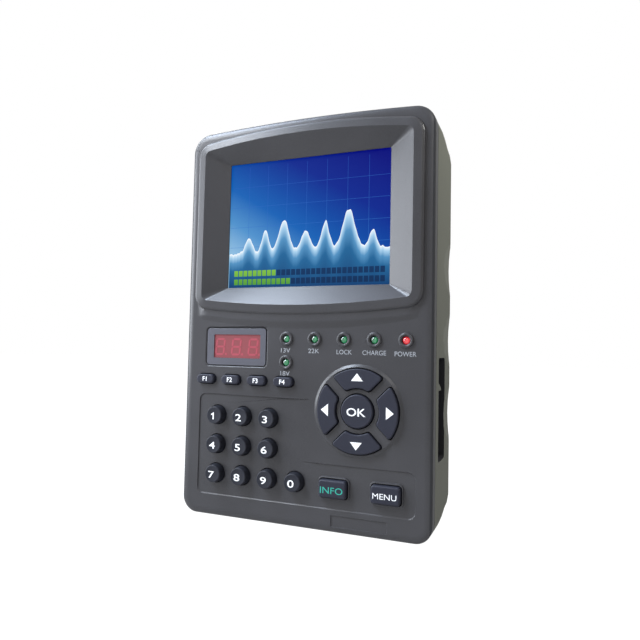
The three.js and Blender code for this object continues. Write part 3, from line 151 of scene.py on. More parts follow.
def plate(bm, points, start, back, edge):
    # a flat piece with its front edge rounded
    prism(bm, points, start, back)
    rim = [e for e in bm.edges if all(abs(v.co.y - faceY - start) < 1e-4 for v in e.verts)]
    bmesh.ops.bevel(bm, geom=rim, offset=edge, offset_type="OFFSET", segments=3,
                    profile=0.5, affect="EDGES", material=-1, clamp_overlap=True)


# Helpers for pieces
def inScene(name, data):
    piece = bpy.data.objects.new(name, data)
    bpy.context.scene.collection.objects.link(piece)
    return piece


def asObject(bm, name, inMillimetres=True):
    bmesh.ops.remove_doubles(bm, verts=bm.verts, dist=1e-5 if inMillimetres else 1e-8)
    bmesh.ops.recalc_face_normals(bm, faces=bm.faces)
    if inMillimetres:
        bmesh.ops.scale(bm, verts=bm.verts, vec=(mm, mm, mm))
    mesh = bpy.data.meshes.new(name)
    bm.to_mesh(mesh)
    bm.free()
    return inScene(name, mesh)


def shaped(name, make, *values):
    # an object from a function that fills a mesh
    bm = bmesh.new()
    make(bm, *values)
    return asObject(bm, name)


def meshOf(piece):
    # the mesh that the modifiers, or the letters of a text, come to
    bpy.context.view_layer.update()
    return bpy.data.meshes.new_from_object(piece.evaluated_get(bpy.context.evaluated_depsgraph_get()))


def applied(piece):
    # the modifiers' result becomes the piece's own mesh
    mesh = meshOf(piece)
    piece.modifiers.clear()
    piece.data = mesh


def combine(piece, tool, operation):
    boolean = piece.modifiers.new("combine", "BOOLEAN")
    boolean.operation = operation
    boolean.solver = "EXACT"
    boolean.object = tool
    applied(piece)
    bpy.data.objects.remove(tool)


def shade(piece, angle, weighted):
    mesh = piece.data
    mesh.polygons.foreach_set("use_smooth", [True] * len(mesh.polygons))
    mesh.set_sharp_from_angle(angle=math.radians(angle))
    if weighted:
        normals = piece.modifiers.new("weighted", "WEIGHTED_NORMAL")
        normals.keep_sharp = True
        normals.weight = 90
        applied(piece)


def finishPiece(piece, material, body="root", stands=(), angle=32, weighted=True):
    piece.data.materials.clear()
    piece.data.materials.append(material)
    shade(piece, angle, weighted)
    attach(piece, body)
    if stands:
        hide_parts(*stands)
    return piece


def secondLook(piece, look, chosen):
    # the faces that a test picks are given another look
    piece.data.materials.append(finishes[look])
    for face in piece.data.polygons:
        face.material_index = int(chosen(face))


def copyOfNode(node, name):
    # the CAD node's loose triangles are merged and flat areas joined
    bm = bmesh.new()
    bm.from_mesh(frame["nodes"][node].data)
    bmesh.ops.remove_doubles(bm, verts=bm.verts, dist=1e-7)
    bmesh.ops.dissolve_limit(bm, angle_limit=math.radians(0.5), verts=bm.verts, edges=bm.edges)
    return asObject(bm, name, inMillimetres=False)


# Materials
def tone(red, green, blue):
    # a screen colour from 0 to 255 as linear light
    def straight(c):
        c = c / 255
        return c / 12.92 if c <= 0.04045 else ((c + 0.055) / 1.055) ** 2.4
    return (straight(red), straight(green), straight(blue), 1)


class Surface:
    # a material under construction, with short ways to add nodes
    def __init__(self, name):
        self.material = bpy.data.materials.new(name)
        self.material.use_nodes = True
        self.tree = self.material.node_tree
        self.shader = self.tree.nodes["Principled BSDF"]
        self.place = self.tree.nodes.new("ShaderNodeTexCoord").outputs["Object"]

    def node(self, kind, values=None, **settings):
        made = self.tree.nodes.new(kind)
        for key, value in settings.items():
            setattr(made, key, value)
        for key, value in (values or {}).items():
            made.inputs[key].default_value = value
        return made

    def link(self, source, target):
        self.tree.links.new(source, target)

    def feed(self, source, *names):
        for name in names:
            self.link(source, self.shader.inputs[name])

    def grain(self, scale, detail=2, roughness=0.5):
        texture = self.node("ShaderNodeTexNoise", {"Scale": scale, "Detail": detail, "Roughness": roughness})
        self.link(self.place, texture.inputs["Vector"])
        return texture.outputs["Fac"]

    def ramp(self, factor, *stops):
        # colours at places from 0 to 1, the lowest place first
        made = self.node("ShaderNodeValToRGB")
        elements = made.color_ramp.elements
        elements[0].position, elements[0].color = stops[0]
        elements[1].position, elements[1].color = stops[-1]
        for place, colour in stops[1:-1]:
            elements.new(place).color = colour
        self.link(factor, made.inputs["Fac"])
        return made.outputs["Color"]

    def spread(self, factor, low, high, side="To"):
        span = self.node("ShaderNodeMapRange", {side + " Min": low, side + " Max": high})
        self.link(factor, span.inputs["Value"])
        return span.outputs["Result"]

    def axisOf(self, vector, axis):
        split = self.node("ShaderNodeSeparateXYZ")
        self.link(vector, split.inputs[0])
        return split.outputs[axis]

    def along(self, axis, low, high):
        # 0 to 1 between two places on one axis
        return self.spread(self.axisOf(self.place, axis), low * mm, high * mm, "From")

    def fromMap(self, name, axis):
        # one axis of the piece's own UV map
        return self.axisOf(self.node("ShaderNodeUVMap", uv_map=name).outputs["UV"], axis)

    def bumpy(self, height, strength, distance):
        bump = self.node("ShaderNodeBump", {"Strength": strength, "Distance": distance})
        self.link(height, bump.inputs["Height"])
        self.feed(bump.outputs["Normal"], "Normal")

    def setValues(self, **values):
        for key, value in values.items():
            self.shader.inputs[key.replace("_", " ")].default_value = value


usualLook = {"drift": 0.06, "rough": 0.45, "roughSpread": 0.06, "bump": 0.05, "bumpDepth": 0.03,
             "cloud": 60, "speckle": 0.5, "metal": 0, "coat": 0, "sheen": 0.5}


def mottled(name, look):
    # colour drifting a little from place to place, fine grain in the surface and its gloss
    surface = Surface(name)
    look = {**usualLook, **look}
    dark = tuple(c * (1 - look["drift"]) for c in look["colour"][:3]) + (1,)
    light = tuple(min(c * (1 + look["drift"]), 1) for c in look["colour"][:3]) + (1,)
    cloud = surface.grain(look["cloud"], 3)
    fine = surface.grain(look["grain"], 2, 0.6)
    blend = surface.node("ShaderNodeMath", {1: look["speckle"]}, operation="MULTIPLY_ADD")
    surface.link(fine, blend.inputs[0])
    surface.link(cloud, blend.inputs[2])
    low = 0.2 + 0.5 * look["speckle"]
    surface.feed(surface.ramp(blend.outputs[0], (low, dark), (low + 0.6, light)), "Base Color")
    uneven = look["roughSpread"]
    surface.feed(surface.spread(fine, look["rough"] - uneven, look["rough"] + uneven), "Roughness")
    surface.bumpy(fine, look["bump"], look["bumpDepth"] * mm)
    surface.setValues(Metallic=look["metal"], Coat_Weight=look["coat"], Coat_Roughness=0.1, IOR=1.5,
                      Specular_IOR_Level=look["sheen"])
    if "glow" in look:
        surface.setValues(Emission_Color=look["glow"], Emission_Strength=look["glowStrength"])
    return surface.material


paint = {"grain": 3600, "speckle": 0.8, "rough": 0.6, "bump": 0.2, "cloud": 25}
rubber = {"drift": 0.1, "grain": 2500, "rough": 0.5, "bump": 0.1, "cloud": 90, "sheen": 0.2}
display = {"grain": 1500, "sheen": 0.3, "glowStrength": 0.3}
ink = {"grain": 2500, "rough": 0.55}
looks = {
    "frontPaint": {**paint, "colour": tone(60, 59, 61), "drift": 0.18, "rough": 0.3, "sheen": 0.31},
    "frontSide": {**paint, "colour": tone(60, 60, 62), "sheen": 0.12},
    "rearPaint": {**paint, "colour": tone(85, 86, 77), "grain": 3000, "bump": 0.25, "sheen": 0.08},
    "keyRubber": {**rubber, "colour": tone(42, 43, 53)},
    "numberRubber": {**rubber, "colour": tone(37, 38, 45)},
    "windowTint": {"colour": tone(80, 80, 88), "drift": 0.04, "grain": 2000, "rough": 0.3,
                   "bump": 0.03, "cloud": 40},
    "displayRed": {**display, "colour": tone(112, 56, 60), "drift": 0.12, "glow": tone(140, 58, 64)},
    "digitRed": {**display, "colour": tone(140, 62, 72), "bump": 0.03, "glow": tone(165, 62, 74)},
    # the bay's finish is dark plastic and painted shade of the recess
    "bayBlackAndShade": {"colour": tone(36, 36, 39), "drift": 0.15, "grain": 1500, "rough": 0.6, "bump": 0.1,
                 "sheen": 0.15},
    # painted shade: the near-black outer ring of each lamp's dome stands for the shade in the hole round it
    "lampShadeRing": {"colour": tone(14, 22, 20), "drift": 0.2, "grain": 900, "rough": 0.2,
                "roughSpread": 0.03, "bump": 0.02},
    # the white and the teal print also glow a little: painted brightness, the print gives no light of its own
    "legendWhite": {**ink, "colour": tone(240, 240, 240), "drift": 0.04, "glow": tone(240, 240, 240),
                    "glowStrength": 0.25},
    "legendGrey": {**ink, "colour": tone(158, 160, 164), "drift": 0.08},
    "legendTeal": {**ink, "colour": tone(40, 160, 140), "drift": 0.05, "glow": tone(40, 160, 140),
                   "glowStrength": 0.1},
    "blackPlastic": {"colour": tone(30, 30, 31), "drift": 0.15, "grain": 1800, "bump": 0.1},
    "boardGreen": {"colour": tone(24, 84, 52), "drift": 0.15, "grain": 700, "rough": 0.35, "bump": 0.06},
    "tinPlate": {"colour": tone(190, 191, 188), "grain": 500, "rough": 0.32, "metal": 0.9},
    "nickelPlate": {"colour": tone(176, 174, 167), "drift": 0.05, "grain": 900, "rough": 0.22,
                    "bump": 0.03, "metal": 1.0},
    "screwSteel": {"colour": tone(128, 129, 132), "drift": 0.1, "grain": 1200, "rough": 0.34,
                   "bump": 0.06, "metal": 1.0},
    "batterySleeve": {"colour": tone(34, 66, 112), "drift": 0.08, "grain": 800, "rough": 0.3, "coat": 0.4},
    "coneBlack": {"colour": tone(34, 33, 32), "drift": 0.2, "grain": 1400, "rough": 0.75, "bump": 0.3},
}
finishes = {name: mottled(name, look) for name, look in looks.items()}
# dark and light are the painted shade and the painted light across each dome
domeLooks = {
    "lampGreen": {"dark": tone(8, 48, 30), "light": tone(52, 176, 110), "glow": 0.12, "rough": 0.15},
    "lampRed": {"dark": tone(150, 18, 26), "light": tone(255, 74, 80), "glow": 0.55, "rough": 0.15},
}


def clearDome(name, look):
    # painted light: each dome is painted darker at the upper left and lighter, glowing more, towards the lower
    # right, as if the light entering at the upper left were collected on its far side
    surface = Surface(name)
    surface.feed(surface.ramp(surface.fromMap("gather", "X"), (0.35, look["dark"]), (0.85, look["light"])),
                 "Base Color", "Emission Color")
    surface.feed(surface.spread(surface.grain(900), look["rough"] - 0.03, look["rough"] + 0.03), "Roughness")
    surface.setValues(Emission_Strength=look["glow"], Coat_Weight=1.0, Coat_Roughness=0.05)
    return surface.material


finishes.update({name: clearDome(name, look) for name, look in domeLooks.items()})
print("materials ready")


# Camera, light and ground
photoView = {"eye": (90.76, -222.49, 68.6), "turn": 22.0, "tilt": 3.01, "roll": 1.19, "lens": 31.94}


def makeCamera(view):
    turn, tilt, roll = (math.radians(view[k]) for k in ("turn", "tilt", "roll"))
    ahead = Vector((-math.sin(turn) * math.cos(tilt), math.cos(turn) * math.cos(tilt), math.sin(tilt)))
    level = Vector((math.cos(turn), math.sin(turn), 0))
    upright = level.cross(ahead)
    right = math.cos(roll) * level + math.sin(roll) * upright
    up = math.cos(roll) * upright - math.sin(roll) * level
    camera = inScene("camera", bpy.data.cameras.new("camera"))
    camera.data.lens = view["lens"]
    camera.data.sensor_width = 36
    camera.data.clip_start = 0.01
    pose = Matrix((right, up, -ahead)).transposed().to_4x4()
    camera.matrix_world = Matrix.Translation(Vector(view["eye"]) * mm) @ pose
    bpy.context.scene.camera = camera


caseMiddle = (0, 0, 0.09)
lamps = {
    "window": {"at": (-0.25, -0.21, 0.47), "size": 0.16, "power": 2.3, "colour": (0.74, 0.85, 1)},
    "sky": {"at": (-0.25, -0.18, 0.6), "size": 0.3, "power": 1.1, "colour": (0.6, 0.74, 1)},
    "lowWindow": {"at": (-0.22, -0.25, 0.33), "size": 0.1, "power": 0.7, "colour": (0.9, 0.94, 1)},
    "sideWindow": {"at": (-0.38, -0.1, 0.4), "size": 0.12, "power": 0.7, "colour": (0.85, 0.92, 1)},
    "roomLeft": {"at": (-0.5, -0.2, 0.17), "size": 0.3, "power": 2.9, "colour": (0.88, 0.93, 1)},
    "roomFront": {"at": (0.43, -0.77, 0.23), "size": 0.4, "power": 0.15, "colour": (1, 0.98, 0.95)},
    "behindLeft": {"at": (-0.33, 0.355, 0.37), "aim": (-0.04, -0.018, 0.155), "size": 0.2,
                   "power": 1.8, "colour": (0.9, 0.95, 1)},
    "highFront": {"at": (0.26, -0.36, 0.4), "aim": (0.01, -0.02, 0.15), "size": 0.2,
                  "power": 0.5, "colour": (1, 0.98, 0.95)},
    "highRight": {"at": (0.17, 0.03, 0.25), "aim": (0.052, 0, 0.13), "size": 0.06,
                  "power": 0.3, "colour": (1, 1, 0.96)},
    "backLight": {"at": (-0.4, 0.9, 0.7), "aim": (0, 0, 0.08), "size": 0.7,
                  "power": 4, "colour": (1, 1, 1)},
}


def makeLamp(name, lamp):
    light = bpy.data.lights.new(name, "AREA")
    light.shape = "SQUARE"
    light.size = lamp["size"]
    light.energy = lamp["power"]
    light.color = lamp["colour"]
    holder = inScene(name, light)
    holder.location = lamp["at"]
    holder.visible_camera = False
    toward = Vector(lamp.get("aim", caseMiddle)) - Vector(lamp["at"])
    holder.rotation_euler = toward.to_track_quat("-Z", "Y").to_euler()


def seenDirectly(tree):
    # 1 for camera, mirror and see-through rays, 0 for the light that reaches the object
    path = tree.nodes.new("ShaderNodeLightPath")
    total = path.outputs["Is Camera Ray"]
    for name in ("Is Glossy Ray", "Is Transmission Ray"):
        larger = tree.nodes.new("ShaderNodeMath")
        larger.operation = "MAXIMUM"
        tree.links.new(total, larger.inputs[0])
        tree.links.new(path.outputs[name], larger.inputs[1])
        total = larger.outputs[0]
    return total


def blended(tree, factor, one, other, target):
    mix = tree.nodes.new("ShaderNodeMixShader")
    for source, place in zip((factor, one, other), mix.inputs):
        tree.links.new(source, place)
    tree.links.new(mix.outputs[0], target)


ground = {"size": 6.0, "fillLight": 0.06, "fillColour": (0.95, 0.97, 1, 1), "shadowShare": 0.2,
          "glow": 1.25, "colour": (0.5, 0.5, 0.5, 1), "rough": 0.9}


def makeGround():
    world = bpy.data.worlds.new("studio")
    world.use_nodes = True
    tree = world.node_tree
    fill = tree.nodes["Background"]
    fill.inputs["Color"].default_value = ground["fillColour"]
    fill.inputs["Strength"].default_value = ground["fillLight"]
    white = tree.nodes.new("ShaderNodeBackground")
    white.inputs["Color"].default_value = (1, 1, 1, 1)
    blended(tree, seenDirectly(tree), fill.outputs[0], white.outputs[0],
            tree.nodes["World Output"].inputs["Surface"])
    bpy.context.scene.world = world

    surface = Surface("studioFloor")
    surface.setValues(Base_Color=ground["colour"], Roughness=ground["rough"])
    glow = surface.node("ShaderNodeEmission", {"Strength": ground["glow"]})
    share = surface.node("ShaderNodeMath", {1: 1 - ground["shadowShare"]}, operation="MULTIPLY")
    surface.link(seenDirectly(surface.tree), share.inputs[0])
    blended(surface.tree, share.outputs[0], surface.shader.outputs[0], glow.outputs[0],
            surface.tree.nodes["Material Output"].inputs["Surface"])
    bm = bmesh.new()
    bmesh.ops.create_grid(bm, x_segments=1, y_segments=1, size=ground["size"] / 2)
    floor = asObject(bm, "floor", inMillimetres=False)
    floor.data.materials.append(surface.material)


makeCamera(photoView)
for name, lamp in lamps.items():
    makeLamp(name, lamp)
makeGround()
bpy.context.scene.view_settings.view_transform = "Standard"
print("camera and lights ready")


# Front cover
front = {
    "mouthMargin": 7.7, "mouthTopMargin": 8.3, "mouthBottom": 88.41, "mouthRadius": 2.6,
    "mouthCrown": 3.0, "mouthBulge": 2.4, "funnelDepth": 2.9, "funnelWall": 1.8, "lip": 0.5,
    "screenCorner": 0.4, "rimHeight": 2.1, "rimOutside": 4, "rimFlat": 2.6, "rimFall": 0.4,
    "padRadius": 17.6, "padBevel": 1.1, "padHeight": 0.7, "gap": 0.3, "fieldLeft": 7.3,
    "fieldRight": 6.1, "fieldBottom": 8.3, "fieldTop": 49.5, "fieldStepX": 5.5, "fieldStepZ": 25.2,
    "fieldRamp": 8, "fieldRadius": 2.6, "fieldBend": 5.5, "fieldDepth": 0.4, "fieldSlope": 0.55,
    "recessSlope": 0.45, "recessDepth": 1.0, "recessSlopeDepth": 0.4, "windowCorner": 1.3,
    "plate": (14.3, 36.0, 2.2, 6.4), "plateDepth": 0.35, "plateCorner": 0.3, "lipWidth": 0.55,
    "lipHeight": 0.5, "collarRadius": 2.9, "collarHeight": 0.85, "collarFloor": 0.5,
    "collarTurn": 0.92, "lampHole": 1.62, "above": -0.5, "aboveRaised": -1.5, "edge": 0.16, "edgeAngle": 21,
    "side": 0.9,
}
lipBack = front["funnelDepth"] + front["lip"]
padX, padZ = middle("key_ok")
glassMargin = 1.5
glass = nodeSpan("screen_glass")
litArea = [glass[0] + glassMargin, glass[1] - glassMargin, glass[4] + glassMargin, glass[5] - glassMargin]


def caseRing(inset):
    return outline(inset - halfWidth, halfWidth - inset, inset, case["shoulder"] - inset,
                   case["topCorner"] - inset, case["bottomCorner"] - inset, crown=case["crown"])


def mouthRing(offset):
    reach = halfWidth - front["mouthMargin"] + offset
    return outline(-reach, reach, front["mouthBottom"] - offset,
                   case["shoulder"] - front["mouthTopMargin"] + offset,
                   front["mouthRadius"] + offset, crown=front["mouthCrown"], bulge=front["mouthBulge"])


def screenRing():
    # as many points as the mouth, on a plain rectangle
    tiny = 1e-6
    return outline(*litArea, front["screenCorner"], crown=tiny, bulge=tiny)


def funnelRing(depth):
    # the back of the funnel's wall, part of the way from the mouth to the screen
    share = (depth + front["rimHeight"] - front["funnelWall"]) / (front["funnelDepth"] + front["rimHeight"])
    return [(a[0] + (b[0] - a[0]) * share, a[1] + (b[1] - a[1]) * share)
            for a, b in zip(mouthRing(0), screenRing())]


def recessRing(reach):
    left, right, _, _, bottom, top = nodeSpan("readout_window")
    return outline(left - reach, right + reach, bottom - reach, top + reach,
                   front["windowCorner"] + reach)


def fieldRing(ramp, inset=0):
    radius, bend = front["fieldRadius"], front["fieldBend"]
    left, right = front["fieldLeft"] - halfWidth, halfWidth - front["fieldRight"]
    low, step, top = front["fieldBottom"] + inset, front["fieldStepZ"], front["fieldTop"]
    edge = front["fieldStepX"] - ramp
    corners = ((left + radius, low + radius, 2, 3), (right - radius, low + radius, 3, 4),
               (right - radius, step - radius, 0, 1), (edge + bend, step + bend, 3, 2),
               (edge - radius, top - radius, 0, 1), (left + radius, top - radius, 1, 2))
    return [point for x, z, start, end in corners
            for point in arc(x, z, radius if start < end else bend, start * quarter, end * quarter,
                             6 if start < end else 10)]


numberNodes = [f"key_{n}" for n in range(10)]
softNodes = [f"key_f{n}" for n in range(1, 5)]
wideNodes = ["key_info", "key_menu"]
arrowNodes = ["nav_right", "nav_up", "nav_left", "nav_down"]
lampNodes = ["led_13v", "led_22k", "led_lock", "led_charge", "led_power", "led_18v"]
keys = {
    "numberRadius": 3.75, "numberRise": 2.76, "numberTaper": 0.25, "numberRound": 0.45,
    "okRadius": 6.4, "okRise": 1.8, "okTaper": 0.1, "okRound": 0.6, "dish": 0.06,
    "softWidth": 8.4, "softHeight": 3.8, "softRise": 1.8, "softRound": 0.7,
    "wideWidth": 11.1, "wideHeight": 6.8, "wideRadius": 1.2, "wideRise": 2.3, "wideRound": 0.9,
    "arrowOuter": 15.9, "arrowInner": 8.6, "arrowWeb": 2, "arrowRise": 1.9, "arrowCorner": 1.1,
    "arrowRound": 0.5, "flangeMargin": 0.8, "flangeDepth": 2.3, "flange": 0.8, "stemRadius": 1.8,
    "stemEnd": 4.0, "ridgeFoot": 0.35, "ridgeTop": 0.15, "ridgeDrop": 0.02,
}


def softRing(node, inset):
    return block(*middle(node), keys["softWidth"], keys["softHeight"], keys["softHeight"] / 2, inset, 10)


def wideRing(node, inset):
    return block(*middle(node), keys["wideWidth"], keys["wideHeight"], keys["wideRadius"], inset)


def arrowRing(node, inset):
    # a quarter of a ring between two bars, with its corners rounded
    outer, inner = keys["arrowOuter"] - inset, keys["arrowInner"] + inset
    web = keys["arrowWeb"] + inset
    aim = arrowNodes.index(node) * quarter

    def reach(radius):
        return math.pi / 4 - math.asin(web / radius)

    steps = 20
    points = (arc(padX, padZ, outer, aim - reach(outer), aim + reach(outer), steps)
              + arc(padX, padZ, inner, aim + reach(inner), aim - reach(inner), 12))
    bm = bmesh.new()
    verts = [bm.verts.new((x, 0, z)) for x, z in points]
    bm.faces.new(verts)
    bmesh.ops.bevel(bm, geom=[verts[0], verts[steps], verts[steps + 1], verts[-1]],
                    offset=max(keys["arrowCorner"] - inset, 0.25), offset_type="OFFSET", segments=5,
                    profile=0.5, affect="VERTICES", material=-1)
    face = max(bm.faces, key=lambda f: f.calc_area())
    ring = [(v.co.x, v.co.z) for v in face.verts]
    bm.free()
    area = sum(ring[i - 1][0] * ring[i][1] - ring[i][0] * ring[i - 1][1] for i in range(len(ring)))
    return ring if area > 0 else list(reversed(ring))


ringedKeys = (("soft", softNodes, softRing), ("wide", wideNodes, wideRing),
              ("arrow", arrowNodes, arrowRing))

chin = {"reach": 48.2, "height": 1.0, "drop": 0.35, "fade": 0.1, "low": 76.5, "lowBow": 4.2,
        "high": 79.9, "highBow": 3.0, "top": 85.2, "topBow": 4.6, "sink": 0.015}


def makeChin(bm):
    # the soft step below the rim: level under the rim's foot, then sloping down to the key panel
    count = 48
    rings = []
    for k in range(count + 1):
        x = chin["reach"] * (2 * k / count - 1)
        along = abs(x) / chin["reach"]
        fade = min((1 - along) / chin["fade"], 1)
        height = chin["height"] * (1 - chin["drop"] * along ** 2) * fade * fade * (3 - 2 * fade)
        low = chin["low"] + chin["lowBow"] * along ** 2
        high = chin["high"] + chin["highBow"] * along ** 2
        ring = [(chin["top"] + chin["topBow"] * along ** 3, -height), (high, -height)]
        for i in range(1, 13):
            share = i / 12
            ease = share * share * (3 - 2 * share) * 0.5 + share * 0.5
            ring.append((high + (low - high) * share, -height * (1 - ease) + chin["sink"] * share))
        ring += [(low - 0.3, 1), (ring[0][0], 1)]
        rings.append([bm.verts.new((x, faceY + depth, z)) for z, depth in ring])
    for one, other in zip(rings, rings[1:]):
        loops = [[bm.edges.get((ring[i - 1], ring[i])) or bm.edges.new((ring[i - 1], ring[i]))
                  for i in range(len(ring))] for ring in (one, other)]
        bmesh.ops.bridge_loops(bm, edges=loops[0] + loops[1])
    bm.faces.new(rings[0])
    bm.faces.new(list(reversed(rings[-1])))


def makeShell():
    # the rounded outside, then the hollow behind the face, round the back of the funnel
    edge, reach = case["edgeRound"], case["edgeReach"]
    rings = [(caseRing(reach * (1 - sine)), edge * (1 - cosine)) for sine, cosine in bend(12)]
    shell = shaped("frontCover", loft, rings + [(caseRing(0), case["frontDepth"])])
    hollow = shaped("hollow", prism, caseRing(case["rimWall"]), case["wall"], case["frontDepth"] + 1)
    funnelBack = shaped("funnelBack", loft, [(funnelRing(1), 1), (funnelRing(lipBack), lipBack)])
    combine(hollow, funnelBack, "DIFFERENCE")
    combine(shell, hollow, "DIFFERENCE")
    return shell


def makeTongue():
    # it reaches into the rear cover
    start, end = case["frontDepth"], case["frontDepth"] + case["tongueReach"]
    tongue = shaped("tongue", prism, caseRing(case["tongueInset"]), start - 1, end)
    combine(tongue, shaped("tongueHollow", prism, caseRing(case["rimWall"]), start - 2, end + 1),
            "DIFFERENCE")
    return tongue


def makeRim(bm):
    # a rounded shoulder outside, then a top that falls a little towards it
    shoulder, flat = front["rimHeight"] - front["rimFall"], front["rimFlat"]
    bead = [(mouthRing(front["rimOutside"]), 1)]
    bead += [(mouthRing(flat + (front["rimOutside"] - flat) * cosine), -shoulder * sine)
             for sine, cosine in bend(8)]
    loft(bm, bead + [(mouthRing(0), -front["rimHeight"])])


def makePad(bm):
    radius, height = front["padRadius"], front["padHeight"]
    turned(bm, padX, padZ, [(0, -height), (radius - front["padBevel"], -height), (radius, 0),
                            (radius, 1), (0, 1)], 96)


def makeCollar(bm, node):
    # a low ring round a lamp, rounded on top
    x, z = middle(node)
    height, outer, hole = front["collarHeight"], front["collarRadius"], front["lampHole"]
    crest = (outer + hole) / 2
    floor = -height * front["collarFloor"]
    profile = [(0, floor), (hole - 0.1, floor)]
    for i in range(15):
        angle = math.pi * front["collarTurn"] * (1 - i / 14)
        profile.append((crest + (outer - crest) * math.cos(angle) * 0.98,
                        -height * (0.2 + 0.8 * math.sin(angle))))
    turned(bm, x, z, profile + [(outer, 0), (outer, 1), (0, 1)])


def makeFunnel(bm):
    # from the mouth down to the screen, and out through the lip
    mouthDepth = -front["rimHeight"]
    loft(bm, [(mouthRing(0), mouthDepth - 1), (mouthRing(0), mouthDepth),
              (screenRing(), front["funnelDepth"]), (screenRing(), lipBack + 1)])


def makeKeyLips(bm):
    # the raised lips round the wide keys
    reach, height = front["gap"] + front["lipWidth"], front["lipHeight"]
    for node in wideNodes:
        loft(bm, [(wideRing(node, 0.3 - reach), -height), (wideRing(node, 0.1 - reach), -height * 0.8),
                  (wideRing(node, -reach), -0.05), (wideRing(node, -reach), 1)])


def makeHoles(bm):
    # key and lamp holes, the read-out's recess and the bare name plate's
    gap, above, high, through = front["gap"], front["above"], front["aboveRaised"], case["wall"] + 1
    for node in numberNodes:
        rod(bm, *middle(node), keys["numberRadius"] + gap, above, through, 64)
    for kind, nodes, ringAt in ringedKeys:
        for node in nodes:
            prism(bm, ringAt(node, -gap), above if kind == "soft" else high, through)
    rod(bm, padX, padZ, keys["okRadius"] + gap, high, through, 72)
    for node in lampNodes:
        rod(bm, *middle(node), front["lampHole"], high, through)
    wide = gap + front["recessSlope"]
    loft(bm, [(recessRing(wide), above), (recessRing(wide), 0),
              (recessRing(gap), front["recessSlopeDepth"]), (recessRing(gap), front["recessDepth"])])
    prism(bm, outline(*front["plate"], front["plateCorner"], steps=3), above, front["plateDepth"])


def makeRaised(bm):
    makeRim(bm)
    makePad(bm)
    for node in lampNodes:
        makeCollar(bm, node)


def makeField(bm):
    # the sunk key field: a long slope right of its upper part, a short one along its lower edge
    loft(bm, [(fieldRing(0), -0.2), (fieldRing(0), 0),
              (fieldRing(front["fieldRamp"], front["fieldSlope"]), front["fieldDepth"])])


def makeDigitHole(bm):
    left, right, _, _, bottom, top = nodeSpan("digit_block")
    gap = front["gap"]
    cuboid(bm, left - gap, right + gap, 0.5, case["wall"] + 1, bottom - gap, top + gap)


cover = makeShell()
combine(cover, makeTongue(), "UNION")
for name, make, operation in (
        ("chin", makeChin, "UNION"), ("raised", makeRaised, "UNION"),
        ("funnel", makeFunnel, "DIFFERENCE"), ("field", makeField, "DIFFERENCE"),
        ("lips", makeKeyLips, "UNION"), ("holes", makeHoles, "DIFFERENCE"),
        ("digitHole", makeDigitHole, "DIFFERENCE")):
    combine(cover, shaped(name, make), operation)
print("front cover", len(cover.data.polygons), "faces")
rounding = cover.modifiers.new("edges", "BEVEL")
rounding.width = front["edge"] * mm
rounding.segments = 2
rounding.limit_method = "ANGLE"
rounding.angle_limit = math.radians(front["edgeAngle"])
rounding.use_clamp_overlap = False
applied(cover)
finishPiece(cover, finishes["frontPaint"], stands=["front_cover"], angle=28)
secondLook(cover, "frontSide", lambda face: abs(face.center.x) > (halfWidth - front["side"]) * mm)
print("front cover rounded", len(cover.data.polygons), "faces")

bay = {"floor": 44.5, "front": 10.4, "back": 23.5, "bottom": 27.5, "top": 66.5, "near": 0.1}


def inBay(face):
    # the floor and the walls of the connector bay: near-black, the dark bare plastic together with painted shade
    # of the deep recess
    x, depth, z = face.center.x / mm, face.center.y / mm - faceY, face.center.z / mm
    near = bay["near"]
    inside = (x > bay["floor"] - near and bay["front"] - near < depth < bay["back"] + near
              and bay["bottom"] - near < z < bay["top"] + near)
    return inside and (x < bay["floor"] + 2 or abs(face.normal.x) < 0.3)


for node, name in (("rear_cover", "rearCover"), ("battery_door", "batteryDoor")):
    piece = finishPiece(copyOfNode(node, name), finishes["rearPaint"], stands=[node], angle=28)
    secondLook(piece, "bayBlackAndShade", inBay)


# Keys
def keyCap(node, look, make, *values):
    piece = shaped(node.replace("_", "") + "Cap", make, *values)
    finishPiece(piece, finishes[look], f"{node}_body", [node], angle=40)


def roundKey(node, kind):
    # flat top inside a fine raised edge, a side that widens a little towards the case
    x, z = middle(node)
    radius, rise, taper, corner = (keys[kind + word] for word in ("Radius", "Rise", "Taper", "Round"))
    flat = radius - taper - corner
    floor = keys["dish"] - rise
    profile = [(0, floor), (flat - keys["ridgeFoot"], floor),
               (flat - keys["ridgeTop"], keys["ridgeDrop"] - rise)]
    profile += [(flat + corner * sine, -rise + corner * (1 - cosine)) for sine, cosine in bend(6)]
    outer, start = radius + keys["flangeMargin"], keys["flangeDepth"]
    profile += [(radius, 0), (radius, start), (outer, start), (outer, start + keys["flange"]),
                (keys["stemRadius"], start + keys["flange"]), (keys["stemRadius"], keys["stemEnd"]),
                (0, keys["stemEnd"])]
    look = "numberRubber" if kind == "number" else "keyRubber"
    keyCap(node, look, turned, x, z, profile, 64)


def ringedKey(node, kind, ringAt):
    # a key of any outline, its front edge rounded
    rise, corner = keys[kind + "Rise"], keys[kind + "Round"]
    margin, start = keys["flangeMargin"], keys["flangeDepth"]
    rings = [(ringAt(node, corner * (1 - cosine)), -rise + corner * (1 - sine))
             for sine, cosine in reversed(bend(5))]
    rings += [(ringAt(node, 0), start), (ringAt(node, -margin), start),
              (ringAt(node, -margin), start + keys["flange"])]
    keyCap(node, "keyRubber", loft, rings)


for node in numberNodes:
    roundKey(node, "number")
roundKey("key_ok", "ok")
for kind, nodes, ringAt in ringedKeys:
    for node in nodes:
        ringedKey(node, kind, ringAt)
print("keys ready")


# Lamps
dome = {"radius": 1.5, "rise": 0.9, "base": 3.3, "flange": 0.3, "flangeHeight": 0.8, "legPitch": 1.5,
        "leg": 0.5, "clear": 1.46}


